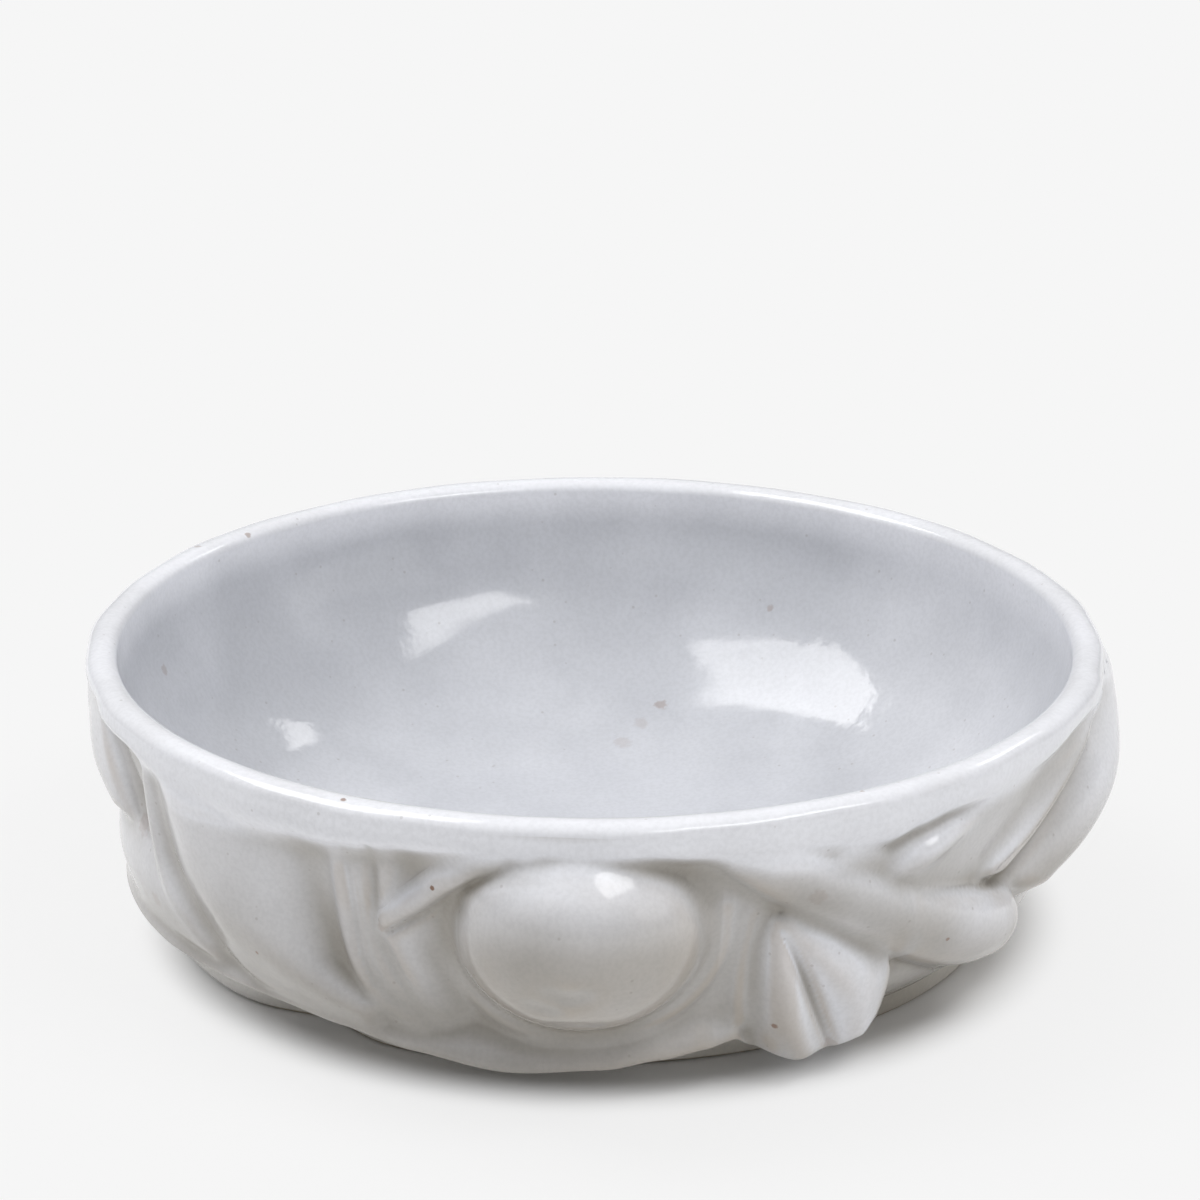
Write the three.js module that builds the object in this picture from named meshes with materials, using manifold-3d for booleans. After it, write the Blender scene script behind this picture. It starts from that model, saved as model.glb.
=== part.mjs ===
// A wide stoneware bowl: a thrown wall on a foot ring, a thick coil round its rim, and a skirt
// of modelled fruit, leaf and branch forms pressed on to the outside before glazing.
// Millimetres, +Z up, origin on the table under the middle of the foot, front towards -Y.
import * as THREE from "three";
import { mergeVertices } from "three/addons/utils/BufferGeometryUtils.js";
import Module from "manifold-3d";

const wasm = await Module();
wasm.setup();

// The thrown bowl
const HEIGHT = 72; // table to lip
const LIP_RADIUS = 116.8; // crest of the lip
const LIP_THICKNESS = 5;
const SKIRT_OVERHANG = 11.9; // how far the cone of the wall stands out over its own base
const FLOOR_THICKNESS = 5.7;
const TUCK_HEIGHT = 22; // below this the outside turns in towards the foot
const TUCK_BEND = 2.2; // how late and how sharply it does so
const BASIN_ROUND = 1.6; // how soon the inside turns in below the lip
const FLOOR_ROUND = 3.6; // how flat the middle of the floor is

// The foot ring
const FOOT_HEIGHT = 6;
const FOOT_RADIUS = 90;
const FOOT_WIDTH = 11;
const FOOT_EASE = 1.3; // rounding of its lower corners, and the lean of its outside
const FOOT_STEP = 1.5; // how far the wall's lower edge stands outside it
const FOOT_SHARE = 0.0875; // share of the bowl's height that lies below the wall
const FOOT_LOBE = 3; // how far its upper edge swells out on the left
const FOOT_LOBE_PLACE = -66; // degrees from the front
const FOOT_LOBE_SPREAD = 15;
const FOOT_DENT = 5.5; // how far it is pressed in, left of the front
const FOOT_DENT_PLACE = -42;
const FOOT_DENT_SPREAD = 8;

// The bowl is out of round, as a hand-worked one is
const BASE_SPREAD = 8; // the base is wider from side to side
const BASE_LEAN = 2; // and a little wider on its left
const LIP_SPREAD = 1; // the lip is longer from front to back
const LIP_FORWARD = 1; // and leans a little to the front
const LIP_RIGHT = 0.8; // and to the right

const MIDDLE_OFFSET = -2.5; // the foot's middle, from the middle of the whole outline

// The rim coil
const BAND_WIDTH = 8.5; // its height at the front
const BAND_NARROWING = 4; // how much less at the sides
const BAND_PROUD = 3.5;
const BAND_SIDE_PROUD = 2.5;

// The modelled pieces: half widths across, and how far each stands off the wall's cone
const CLEARANCE = 0.3; // the slip joint between two pieces of clay
const EDGE_THICKNESS = 0.9;
const FRUIT_MIDDLE = [-0.8, 0.56]; // degrees, and share of the height
const FRUIT_HALF_WIDTH = 30;
const FRUIT_HALF_HEIGHT = 23;
const FRUIT_RISE = 18;
const FRUIT_POLE = 0.18; // radians of its outline left flat at the top and bottom
const CRADLE_WIDTH = 6;
const CRADLE_RISE = 3.4;
const CRADLE_OPENING = 1.23; // radians to each side of the top where it stops
const BRANCH_HALF_WIDTH = 7.5;
const BRANCH_RISE = 8.5;
const KNOB_HALF_WIDTH = 10;
const KNOB_RISE = 11.5;
const FAN_RISE = 9;
const FLUTE_DEPTH = 2.2;
const FLUTE_PLACE = 0.42; // share of the fan's width
const FLUTE_WIDTH = 0.09;
const RIB_HALF_WIDTH = 2;
const RIB_RISE = 3;
const TWIG_RISE = 3.6;
const FACET_RISE = 3.4;
const LEAF_RISE = 5.2;
const RIDGE_HALF_WIDTH = 2.3;
const RIDGE_RISE = 5;
const LOBE_RISE = 3;
const SIDE_LEAF_RISE = 6.4;
const STEP_RISE = 3;
const VEIN_HALF_WIDTH = 3.4;
const VEIN_RISE = 6.5;
const FOLD_RISE = 13;
const HEM_HALF_WIDTH = 3.4;
const HEM_RISE = 6;
const HEM_SIDE_RISE = 3;
const HEM_LIFT = 10.5; // how much higher it runs at the sides than at the front
const HEM_LOWEST = 7; // degrees left of the front where it is lowest
const BACK_TURN = 178; // degrees round to the back, which repeats the front's forms
const BACK_SCALE = 0.86;

// Facets
const TURN_STEPS = 64;
const WALL_STEPS = 8;
const BASIN_STEPS = 9;
const LIP_STEPS = 4;

// Cutting shapes run from this far inside the wall's face to this far outside it
const CUT_INSIDE = 8;
const CUT_OUTSIDE = 40;

const CLAY = { color: 0xd3d4d6, roughness: 0.18, metalness: 0 };
const RIM_CLAY = { color: 0xe4e5e8, roughness: 0.15, metalness: 0 };
const BARE_CLAY = { color: 0xc9bfae, roughness: 0.8, metalness: 0 };

const MM_PER_DEGREE = (LIP_RADIUS * Math.PI) / 180;
const UNDERSIDE = FOOT_HEIGHT + CLEARANCE;
const FLOOR = UNDERSIDE + FLOOR_THICKNESS;
const LIP_HALF = LIP_THICKNESS / 2;
const SHOULDER = HEIGHT - LIP_HALF; // where the lip's round begins
const BASE_RADIUS = FOOT_RADIUS + FOOT_STEP;
const CONE_BASE = BASE_RADIUS + SKIRT_OVERHANG;
const WALL_FLARE = (LIP_RADIUS + LIP_HALF - CONE_BASE) / (SHOULDER - UNDERSIDE);
const HEM_LOW = UNDERSIDE + HEM_HALF_WIDTH + CLEARANCE;

const mix = (a, b, t) => a + (b - a) * t;
const clamp = (v) => Math.min(1, Math.max(0, v));

// Value of a list of numbers at t from 0 to 1, joined by straight lines.
function along(values, t) {
  const place = clamp(t) * (values.length - 1);
  const i = Math.min(values.length - 2, Math.floor(place));
  return mix(values[i], values[i + 1], place - i);
}

// Radius of the plain cone on which the modelling is laid out.
const coneRadius = (z) => LIP_RADIUS + LIP_HALF - WALL_FLARE * (SHOULDER - z);

// Outside of the thrown wall: the cone, turned in towards the foot.
function wallRadius(z) {
  const tuck = Math.max(0, (TUCK_HEIGHT - z) / (TUCK_HEIGHT - UNDERSIDE));
  return coneRadius(z) - SKIRT_OVERHANG * tuck ** TUCK_BEND;
}

// Inside of the thrown wall: a rounded basin, steep below the lip and flat in the middle.
function innerRadius(z) {
  const depth = (SHOULDER - z) / (SHOULDER - FLOOR);
  return (LIP_RADIUS - LIP_HALF) * (1 - depth ** BASIN_ROUND) ** (1 / FLOOR_ROUND);
}

// Places of the modelling are given as an angle round the bowl, in degrees from the front
// and positive to the right, and a height as a share of the bowl's height, foot included.
const heightOf = (share) => mix(UNDERSIDE, HEIGHT, (share - FOOT_SHARE) / (1 - FOOT_SHARE));
const shareOf = (z) => mix(FOOT_SHARE, 1, (z - UNDERSIDE) / (HEIGHT - UNDERSIDE));

function polar(degrees, radius, z) {
  const a = THREE.MathUtils.degToRad(degrees);
  return [radius * Math.sin(a), -radius * Math.cos(a), z];
}

// Moves a point from the true round shape to the hand-worked one.
function handWorked([x, y, z]) {
  const radius = Math.hypot(x, y);
  if (radius < 1e-6) return [x, y, z];
  const sine = x / radius;
  const cosine = -y / radius;
  const high = z / HEIGHT;
  const base = BASE_SPREAD * sine * sine - BASE_LEAN * sine;
  const lean = LIP_FORWARD * cosine + LIP_RIGHT * sine;
  const lip = LIP_SPREAD * (cosine * cosine - sine * sine) + lean;
  const share = Math.min(1, radius / FOOT_RADIUS);
  const grown = radius + share * ((1 - high) ** 3 * base + high * lip);
  return [(x * grown) / radius, (y * grown) / radius, z];
}

// A closed solid from points and triangles, turned to face outwards.
function solid(points, triangles) {
  let volume = 0;
  for (const [a, b, c] of triangles) {
    const normal = new THREE.Vector3(...points[b]).cross(new THREE.Vector3(...points[c]));
    volume += normal.dot(new THREE.Vector3(...points[a]));
  }
  const faces = volume < 0 ? triangles.map(([a, b, c]) => [a, c, b]) : triangles;
  const vertProperties = new Float32Array(points.flat());
  const triVerts = new Uint32Array(faces.flat());
  return new wasm.Manifold(new wasm.Mesh({ numProp: 3, vertProperties, triVerts }));
}

// A solid from a closed three.js geometry: shared points merged, collapsed faces dropped.
function solidOf(geometry) {
  const plain = geometry.clone();
  plain.deleteAttribute("normal");
  plain.deleteAttribute("uv");
  const merged = mergeVertices(plain, 1e-4);
  const at = merged.attributes.position;
  const points = Array.from({ length: at.count }, (_, i) => [at.getX(i), at.getY(i), at.getZ(i)]);
  const triangles = [];
  for (let i = 0; i < merged.index.count; i += 3) {
    const [a, b, c] = merged.index.array.slice(i, i + 3);
    if (a !== b && b !== c && c !== a) triangles.push([a, b, c]);
  }
  return solid(points, triangles);
}

// A profile of [radius, height] points turned round the bowl's axis. A closed profile makes a
// ring. bend may move each point, given its angle in degrees from the front.
function turned(profile, bend = (point) => point) {
  const outline = profile.map(([r, z]) => new THREE.Vector2(r, z));
  const lathe = new THREE.LatheGeometry(outline, TURN_STEPS).rotateX(Math.PI / 2);
  const at = lathe.attributes.position;
  for (let i = 0; i < at.count; i++) {
    const [x, y, z] = [at.getX(i), at.getY(i), at.getZ(i)];
    const degrees = THREE.MathUtils.radToDeg(Math.atan2(x, -y));
    const [radius, height] = bend([Math.hypot(x, y), z], degrees);
    at.setXYZ(i, ...polar(degrees, radius, height));
  }
  return solidOf(lathe);
}

const steps = (count) => Array.from({ length: count + 1 }, (_, i) => i / count);

// The thrown bowl: underside, tucked outside, round lip and hollow inside.
function thrownBowl() {
  const outside = steps(WALL_STEPS).map((t) => {
    const z = mix(UNDERSIDE, SHOULDER, t ** 1.5);
    return [wallRadius(z), z];
  });
  const lip = steps(LIP_STEPS).slice(1, -1).map((t) => [
    LIP_RADIUS + LIP_HALF * Math.cos(Math.PI * t),
    SHOULDER + LIP_HALF * Math.sin(Math.PI * t),
  ]);
  const inside = steps(BASIN_STEPS).map((t) => {
    const z = mix(SHOULDER, FLOOR, (1 - (1 - t) ** 2.1) ** 1.2);
    return [innerRadius(z), z];
  });
  return turned([[0, UNDERSIDE], ...outside, ...lip.reverse(), ...inside]);
}

// The foot ring under the bowl, a low ring with its outer corners eased. Its outside swells
// and is dented where it was handled.
function footRing() {
  const inner = FOOT_RADIUS - FOOT_WIDTH;
  const profile = [
    [inner + FOOT_EASE, 0],
    [FOOT_RADIUS - FOOT_EASE, 0],
    [FOOT_RADIUS, FOOT_EASE],
    [FOOT_RADIUS + FOOT_EASE, FOOT_HEIGHT],
    [inner, FOOT_HEIGHT],
    [inner, FOOT_EASE],
    [inner + FOOT_EASE, 0],
  ];
  return turned(profile, ([radius, z], degrees) => {
    const outwards = clamp((radius - inner - FOOT_EASE) / (FOOT_WIDTH - 2 * FOOT_EASE));
    const dent = FOOT_DENT * Math.exp(-(((degrees - FOOT_DENT_PLACE) / FOOT_DENT_SPREAD) ** 2));
    const lobe = FOOT_LOBE * Math.exp(-(((degrees - FOOT_LOBE_PLACE) / FOOT_LOBE_SPREAD) ** 4));
    return [radius + outwards * ((lobe * z) / FOOT_HEIGHT - dent), z];
  });
}

// How far round to the side of the bowl an angle is, staying near nothing over the front.
const sideways = (degrees) => Math.sin(THREE.MathUtils.degToRad(degrees)) ** 4;

// Lower edge of the rim coil, which narrows at the sides of the bowl.
const bandBottom = (degrees) => SHOULDER - BAND_WIDTH + BAND_NARROWING * sideways(degrees);

// A ring laid round the outside of the wall. Its section is a closed list of [share of its
// height, distance off the wall], and limits gives its lower and upper edge at an angle.
function wallRing(section, limits, scaleAt = () => 1) {
  const profile = section.map(([share, off]) => [LIP_RADIUS + off, share]);
  return turned(profile, ([radius, share], degrees) => {
    const z = mix(...limits(degrees), share);
    return [wallRadius(z) + CLEARANCE + (radius - LIP_RADIUS) * scaleAt(degrees), z];
  });
}

// The rim coil: a full round band, softer at its upper edge and flatter at the sides.
function rimBand() {
  const bulge = [[0, 0], [0, 0.5], [0.12, 0.8], [0.4, 1], [0.75, 0.85], [1, 0.3], [1, 0]];
  const proud = (degrees) => mix(BAND_PROUD, BAND_SIDE_PROUD, sideways(degrees));
  const limits = (degrees) => [bandBottom(degrees), SHOULDER];
  return wallRing([...bulge, [0.5, 0], bulge[0]], limits, proud);
}

// The room that the rim coil takes, for cutting what runs up to it.
function bandRoom() {
  const section = [[0, -CUT_INSIDE], [0, CUT_OUTSIDE], [1, CUT_OUTSIDE], [1, -CUT_INSIDE]];
  const limits = (degrees) => [bandBottom(degrees) - CLEARANCE, HEIGHT + CUT_OUTSIDE];
  return wallRing([...section, section[0]], limits);
}

// A smooth line on the wall through [degrees, share of height] places, as a function of t.
function line(places) {
  const spline = new THREE.SplineCurve(
    places.map(([degrees, share]) => new THREE.Vector2(degrees * MM_PER_DEGREE, heightOf(share))),
  );
  return (t) => spline.getPoint(t);
}

// The two sides of a ridge that follows a line, with its half width as a list along it. Both
// ends are rounded.
function ridgeSides(places, halfWidths, endShare = 0.12) {
  const middle = line(places);
  const half = (t) => {
    const fromEnd = Math.min(t, 1 - t) / endShare;
    return along(halfWidths, t) * Math.sqrt(1 - (1 - Math.min(1, fromEnd + 0.08)) ** 2);
  };
  const side = (sign) => (t) => {
    const next = middle(Math.min(1, t + 0.01));
    const heading = next.sub(middle(Math.max(0, t - 0.01))).normalize();
    const square = new THREE.Vector2(heading.y, -heading.x);
    return middle(t).addScaledVector(square, sign * half(t));
  };
  return [side(-1), side(1)];
}

// A pad of clay on the wall between two sides. rise(t, s) is how far its face stands off the
// cone, t along the sides and s from the first side to the second.
function pad(name, [sideA, sideB], [alongSteps, acrossSteps], rise) {
  return { name, sideA, sideB, alongSteps, acrossSteps, rise };
}

const place = (piece, t, s) => piece.sideA(t).clone().lerp(piece.sideB(t), s);

// The pad as a closed solid: a grid of face points, and the same grid on the wall behind it.
function padSolid(piece) {
  const { alongSteps, acrossSteps } = piece;
  const points = [];
  for (const isFace of [true, false]) {
    for (const t of steps(alongSteps)) {
      for (const s of steps(acrossSteps)) {
        const at = place(piece, t, s);
        const back = wallRadius(at.y) + CLEARANCE;
        const face = Math.max(back + EDGE_THICKNESS, coneRadius(at.y) + piece.rise(t, s));
        points.push(polar(at.x / MM_PER_DEGREE, isFace ? face : back, at.y));
      }
    }
  }
  const row = acrossSteps + 1;
  const back = row * (alongSteps + 1);
  const triangles = [];
  const quad = (a, b, c, d) => triangles.push([a, b, c], [a, c, d]);
  for (let i = 0; i < alongSteps; i++) {
    for (let j = 0; j < acrossSteps; j++) {
      const k = i * row + j;
      quad(k, k + 1, k + row + 1, k + row);
      quad(back + k, back + k + row, back + k + row + 1, back + k + 1);
    }
    const left = i * row;
    const right = left + acrossSteps;
    quad(left, left + row, back + left + row, back + left);
    quad(right, back + right, back + right + row, right + row);
  }
  for (let j = 0; j < acrossSteps; j++) {
    const far = alongSteps * row + j;
    quad(j, back + j, back + j + 1, j + 1);
    quad(far, far + 1, back + far + 1, back + far);
  }
  return solid(points, triangles);
}

// The pad's outline on the wall, anticlockwise seen from outside.
function outline(piece) {
  const marks = steps(piece.alongSteps);
  const near = steps(piece.acrossSteps).slice(1, -1);
  const loop = [
    ...marks.map((t) => place(piece, t, 0)),
    ...near.map((s) => place(piece, 1, s)),
    ...marks.toReversed().map((t) => place(piece, t, 1)),
    ...near.toReversed().map((s) => place(piece, 0, s)),
  ];
  return THREE.ShapeUtils.isClockWise(loop) ? loop.reverse() : loop;
}

// The room that a pad takes on the wall, its outline grown by the clearance and carried
// straight through from inside the wall to well outside.
function padRoom(piece) {
  const loop = outline(piece);
  const grown = loop.map((here, i) => {
    const before = loop[(i + loop.length - 1) % loop.length];
    const after = loop[(i + 1) % loop.length];
    const first = here.clone().sub(before).normalize();
    const second = after.clone().sub(here).normalize();
    const outward = new THREE.Vector2(first.y + second.y, -first.x - second.x).normalize();
    const lean = Math.max(0.5, outward.dot(new THREE.Vector2(second.y, -second.x)));
    return here.clone().addScaledVector(outward, CLEARANCE / lean);
  });
  const ring = (off) => grown.map((at) => {
    return polar(at.x / MM_PER_DEGREE, wallRadius(at.y) + off, at.y);
  });
  const count = grown.length;
  const triangles = THREE.ShapeUtils.triangulateShape(grown, []).flatMap(([a, b, c]) => [
    [a, b, c],
    [count + a, count + c, count + b],
  ]);
  for (let i = 0; i < count; i++) {
    const next = (i + 1) % count;
    triangles.push([i, count + i, count + next], [i, count + next, next]);
  }
  return solid([...ring(CUT_OUTSIDE), ...ring(-CUT_INSIDE)], triangles);
}

// A half round cross section, as a share of the rise at s across.
const halfRound = (s) => Math.sqrt(Math.max(0, 1 - (2 * s - 1) ** 2));

// An oval round a middle place, the fruit's outline grown by a margin, as a function of the
// angle in radians from straight up.
function fruitEdge([degrees, share], margin, scale) {
  return (angle) => new THREE.Vector2(
    degrees * MM_PER_DEGREE + (FRUIT_HALF_WIDTH * scale + margin) * Math.sin(angle),
    heightOf(share) + (FRUIT_HALF_HEIGHT * scale + margin) * Math.cos(angle),
  );
}

// The round fruit: a dome on an oval outline.
function fruit(name, middle, scale = 1) {
  const edge = fruitEdge(middle, 0, scale);
  const angle = (t) => mix(FRUIT_POLE, Math.PI - FRUIT_POLE, t);
  const sides = [(t) => edge(-angle(t)), (t) => edge(angle(t))];
  return pad(name, sides, [12, 10], (t, s) => {
    const out = (2 * s - 1) * Math.sin(angle(t));
    const up = Math.cos(angle(t));
    return FRUIT_RISE * Math.sqrt(Math.max(0, 1 - out * out - up * up)) ** 0.9;
  });
}

// The crescent that holds the fruit from below.
function cradle(name, middle, scale = 1) {
  const angle = (t) => mix(CRADLE_OPENING, 2 * Math.PI - CRADLE_OPENING, t);
  const inner = fruitEdge(middle, 2 * CLEARANCE, scale);
  const outer = fruitEdge(middle, 2 * CLEARANCE + CRADLE_WIDTH, scale);
  const sides = [(t) => inner(angle(t)), (t) => outer(angle(t))];
  return pad(name, sides, [22, 4], (t, s) => CRADLE_RISE * (0.25 + 0.75 * halfRound(s)));
}

// A ridge that follows a line on the wall.
function ridge(name, places, halfWidths, rises, stepCounts, endShare) {
  const sides = ridgeSides(places, halfWidths, endShare);
  return pad(name, sides, stepCounts, (t, s) => along(rises, t) * (0.2 + 0.8 * halfRound(s)));
}

// A narrow ridge of one width, with its rise and its shares along the line.
function rib(name, places, halfWidth, rise, shares, alongSteps = 12) {
  const rises = shares.map((share) => share * rise);
  return ridge(name, places, [halfWidth, halfWidth], rises, [alongSteps, 4], 0.07);
}

// A leaf, lobe or facet between two lines. shares is its rise along the lines and across is
// its section from the first to the second, both as shares of the full rise.
function blade(name, placesA, placesB, stepCounts, rise, shares, across) {
  const height = (t, s) => rise * along(shares, t) * along(across, s);
  return pad(name, [line(placesA), line(placesB)], stepCounts, height);
}

const turnedBy = (turn, places) => places.map(([degrees, share]) => [degrees + turn, share]);

// The fan leaf: two petals that spread from a point, with a flute between them.
function fanLeaf(name, turn) {
  const left = [[19.9, 0.62], [18.7, 0.5], [18.1, 0.38], [18.5, 0.24], [21.6, 0.115]];
  const right = [[21.3, 0.62], [27, 0.48], [32, 0.4], [35.6, 0.3], [35.6, 0.2], [32.4, 0.12]];
  const sides = [line(turnedBy(turn, left)), line(turnedBy(turn, right))];
  return pad(name, sides, [10, 10], (t, s) => {
    const flute = Math.exp(-(((s - FLUTE_PLACE) / FLUTE_WIDTH) ** 2));
    const petals = FAN_RISE * mix(0.4, 1, t) * (0.45 + 0.55 * halfRound(s) ** 0.7);
    return petals - FLUTE_DEPTH * flute * mix(0.4, 1, t);
  });
}

// The branch that hangs from the rim and ends in a knob.
function branch() {
  const places = [[13.5, 0.875], [19.5, 0.79], [28, 0.66], [37.5, 0.515], [46.5, 0.4], [54, 0.345]];
  const widths = [0.5, 0.9, 1].map((share) => share * BRANCH_HALF_WIDTH);
  const knobWidths = [0.9, 1, 1].map((share) => share * KNOB_HALF_WIDTH);
  const rises = [0.5, 0.8, 1].map((share) => share * BRANCH_RISE);
  const knobRises = [0.85, 1, 0.7].map((share) => share * KNOB_RISE);
  return ridge("branch", places, [...widths, ...knobWidths], [...rises, ...knobRises], [14, 6]);
}

// The stem left of the fruit: three ribs that sweep in under it, and two facets beside them.
function stemPieces() {
  const left = [[-27.2, 0.89], [-27.5, 0.7], [-27.6, 0.51], [-26.8, 0.375], [-24.3, 0.28],
    [-19.5, 0.22]];
  const middle = [[-24.5, 0.89], [-24.9, 0.7], [-25, 0.5], [-24, 0.385], [-21.5, 0.31],
    [-18.8, 0.27]];
  const right = [[-22, 0.89], [-22.6, 0.7], [-22.9, 0.53]];
  return [
    rib("stem_rib_left", left, RIB_HALF_WIDTH, RIB_RISE, [1, 1], 14),
    rib("stem_rib_middle", middle, RIB_HALF_WIDTH, RIB_RISE, [1, 0.9, 0.8], 14),
    rib("stem_rib_right", right, 0.8 * RIB_HALF_WIDTH, RIB_RISE, [0.75, 0.6], 6),
    blade("slanting_twig",
      [[-23, 0.635], [-18.7, 0.73], [-13.5, 0.86]],
      [[-23.2, 0.545], [-17.4, 0.635], [-12.5, 0.75], [-9, 0.87]],
      [8, 5], TWIG_RISE, [1, 1], [0.35, 1, 0.8, 0.4]),
    blade("fruit_facet",
      [[-22.4, 0.53], [-21.4, 0.43], [-19.6, 0.32], [-17.5, 0.235]],
      [[-16.6, 0.64], [-15.8, 0.5], [-15, 0.38], [-14, 0.28]],
      [7, 4], FACET_RISE, [1, 0.8, 0.6], [1, 0.9, 0.5]),
  ];
}

// The left side: a long leaf with a vein along its edge, and two broad lobes behind it.
function leftPieces() {
  const vein = [[-56, 0.9], [-57.4, 0.7], [-57.8, 0.555], [-56.5, 0.445], [-53.5, 0.36],
    [-50, 0.305]];
  const leafBack = [[-54.5, 0.9], [-56, 0.7], [-55, 0.52], [-50.5, 0.36], [-43.5, 0.275],
    [-35.5, 0.235], [-26, 0.2]];
  const leafFront = [[-44.5, 0.9], [-41.5, 0.72], [-37, 0.57], [-33.5, 0.46], [-31, 0.385],
    [-28.5, 0.31], [-25.5, 0.25]];
  return [
    rib("left_vein", vein, RIDGE_HALF_WIDTH, RIDGE_RISE, [1, 1, 0.7], 11),
    blade("left_leaf", leafBack, leafFront, [14, 6], LEAF_RISE,
      [1, 1, 0.9, 0.7], [0.35, 0.55, 0.85, 1, 0.75, 0.25]),
    blade("left_lobe",
      [[-55, 0.5], [-64, 0.54], [-76, 0.5], [-90, 0.5]],
      [[-50, 0.275], [-60, 0.26], [-74, 0.255], [-92, 0.26]],
      [10, 5], LOBE_RISE, [1, 1, 0.8], [0.4, 0.9, 1, 0.9, 0.5]),
    blade("left_side_leaf",
      [[-73, 0.92], [-71, 0.76], [-68.5, 0.64], [-66.5, 0.56]],
      [[-104, 0.92], [-102, 0.76], [-97, 0.6], [-90, 0.52]],
      [8, 7], SIDE_LEAF_RISE, [0.5, 0.85, 1, 0.7], [0.5, 0.95, 1, 0.9, 0.3]),
  ];
}

// The right side: a stepped ledge and leaf above the branch, and a heavy fold past the knob.
function rightPieces() {
  return [
    rib("ledge", [[34.2, 0.67], [38.2, 0.78], [43.5, 0.87]], RIDGE_HALF_WIDTH, STEP_RISE, [1, 1], 7),
    blade("right_leaf",
      [[36.2, 0.66], [41, 0.8], [46.5, 0.875]],
      [[45.3, 0.55], [51.5, 0.68], [56, 0.86]],
      [7, 5], LEAF_RISE, [0.8, 1, 0.9], [0.35, 0.8, 1, 0.8]),
    rib("right_vein", [[74, 0.94], [68.5, 0.84], [61.5, 0.735], [55.5, 0.64], [50.5, 0.575]],
      VEIN_HALF_WIDTH, VEIN_RISE, [0.8, 1, 1], 11),
    blade("right_strip",
      [[46.4, 0.54], [52.6, 0.68], [57.2, 0.86]],
      [[51, 0.56], [60, 0.7], [69, 0.87]],
      [7, 4], LEAF_RISE, [0.7, 0.6, 0.5], [0.6, 1, 0.8]),
    blade("right_fold",
      [[77, 0.93], [71.5, 0.81], [65, 0.7], [58, 0.58], [52.5, 0.48]],
      [[104, 0.9], [101, 0.7], [93, 0.51], [80, 0.4], [66, 0.34]],
      [11, 7], FOLD_RISE, [0.4, 0.8, 1, 0.85, 0.5], [0.45, 0.85, 1, 0.85, 0.4]),
  ];
}

// The back, which repeats the front's forms in their own order at another scale.
function backPieces() {
  const moved = (places) => turnedBy(BACK_TURN, places);
  const middle = [FRUIT_MIDDLE[0] + BACK_TURN, FRUIT_MIDDLE[1]];
  const widths = [0.5, 1, 0.8].map((share) => share * BRANCH_HALF_WIDTH);
  const rises = [0.5, 0.8, 0.6].map((share) => share * BRANCH_RISE);
  const branchPlaces = moved([[13.5, 0.875], [21, 0.76], [32, 0.64], [45, 0.53], [56, 0.44]]);
  return [
    ridge("back_branch", branchPlaces, widths, rises, [12, 6]),
    fanLeaf("back_fan_leaf", BACK_TURN + 1),
    fruit("back_fruit", middle, BACK_SCALE),
    cradle("back_cradle", middle, BACK_SCALE),
    rib("back_rib_left", moved([[-28, 0.89], [-28.6, 0.6], [-27, 0.4], [-22.5, 0.26]]),
      RIB_HALF_WIDTH, RIB_RISE, [1, 1], 10),
    rib("back_rib_right", moved([[-25.2, 0.89], [-25.6, 0.6], [-24, 0.42], [-20.5, 0.33]]),
      RIB_HALF_WIDTH, RIB_RISE, [1, 0.8], 10),
    blade("back_leaf",
      moved([[-56, 0.86], [-54, 0.6], [-46, 0.37], [-36, 0.26], [-27, 0.22]]),
      moved([[-46, 0.88], [-39.5, 0.7], [-34, 0.5], [-30, 0.38], [-26.5, 0.28]]),
      [11, 5], LEAF_RISE, [1, 1, 0.8], [0.4, 0.8, 1, 0.6, 0.2]),
    blade("back_lobe",
      moved([[50, 0.8], [58, 0.72], [66, 0.62]]),
      moved([[74, 0.86], [76, 0.72], [74, 0.56]]),
      [6, 5], LEAF_RISE, [0.6, 1, 0.8], [0.4, 0.9, 1, 0.5]),
  ];
}

// The hem: a roll of clay along the lower edge of the skirt, lowest at the front.
function hem(name, from, to, rises) {
  const places = steps(10).map((t) => {
    const degrees = mix(from, to, t);
    const sine = Math.sin(THREE.MathUtils.degToRad(degrees + HEM_LOWEST));
    return [degrees, shareOf(HEM_LOW + HEM_LIFT * Math.sqrt(0.01 + 0.99 * sine * sine))];
  });
  return ridge(name, places, [HEM_HALF_WIDTH, HEM_HALF_WIDTH], rises, [24, 4], 0.02);
}

function hems() {
  const [low, high] = [HEM_SIDE_RISE, HEM_RISE];
  return [
    hem("hem_front", -93, 17.6, [low, low, 0.4 * low, low, high, high]),
    hem("hem_back", 108, 262, [low, high, high, low]),
  ];
}

// The pieces of the skirt, the ones on top first: each is cut back by those before it.
function skirtPieces() {
  return [
    branch(),
    fanLeaf("fan_leaf", 0),
    fruit("fruit", FRUIT_MIDDLE),
    cradle("fruit_cradle", FRUIT_MIDDLE),
    ...stemPieces(),
    ...leftPieces(),
    ...rightPieces(),
    ...backPieces(),
    ...hems(),
  ];
}

// The piece left when the rim coil and the pieces on top of it have been cut away.
function trimmed(piece, before, band) {
  let left = padSolid(piece).subtract(band);
  for (const room of before) left = left.subtract(room);
  const bodies = left.decompose().sort((a, b) => b.volume() - a.volume());
  return bodies[0];
}

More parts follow.
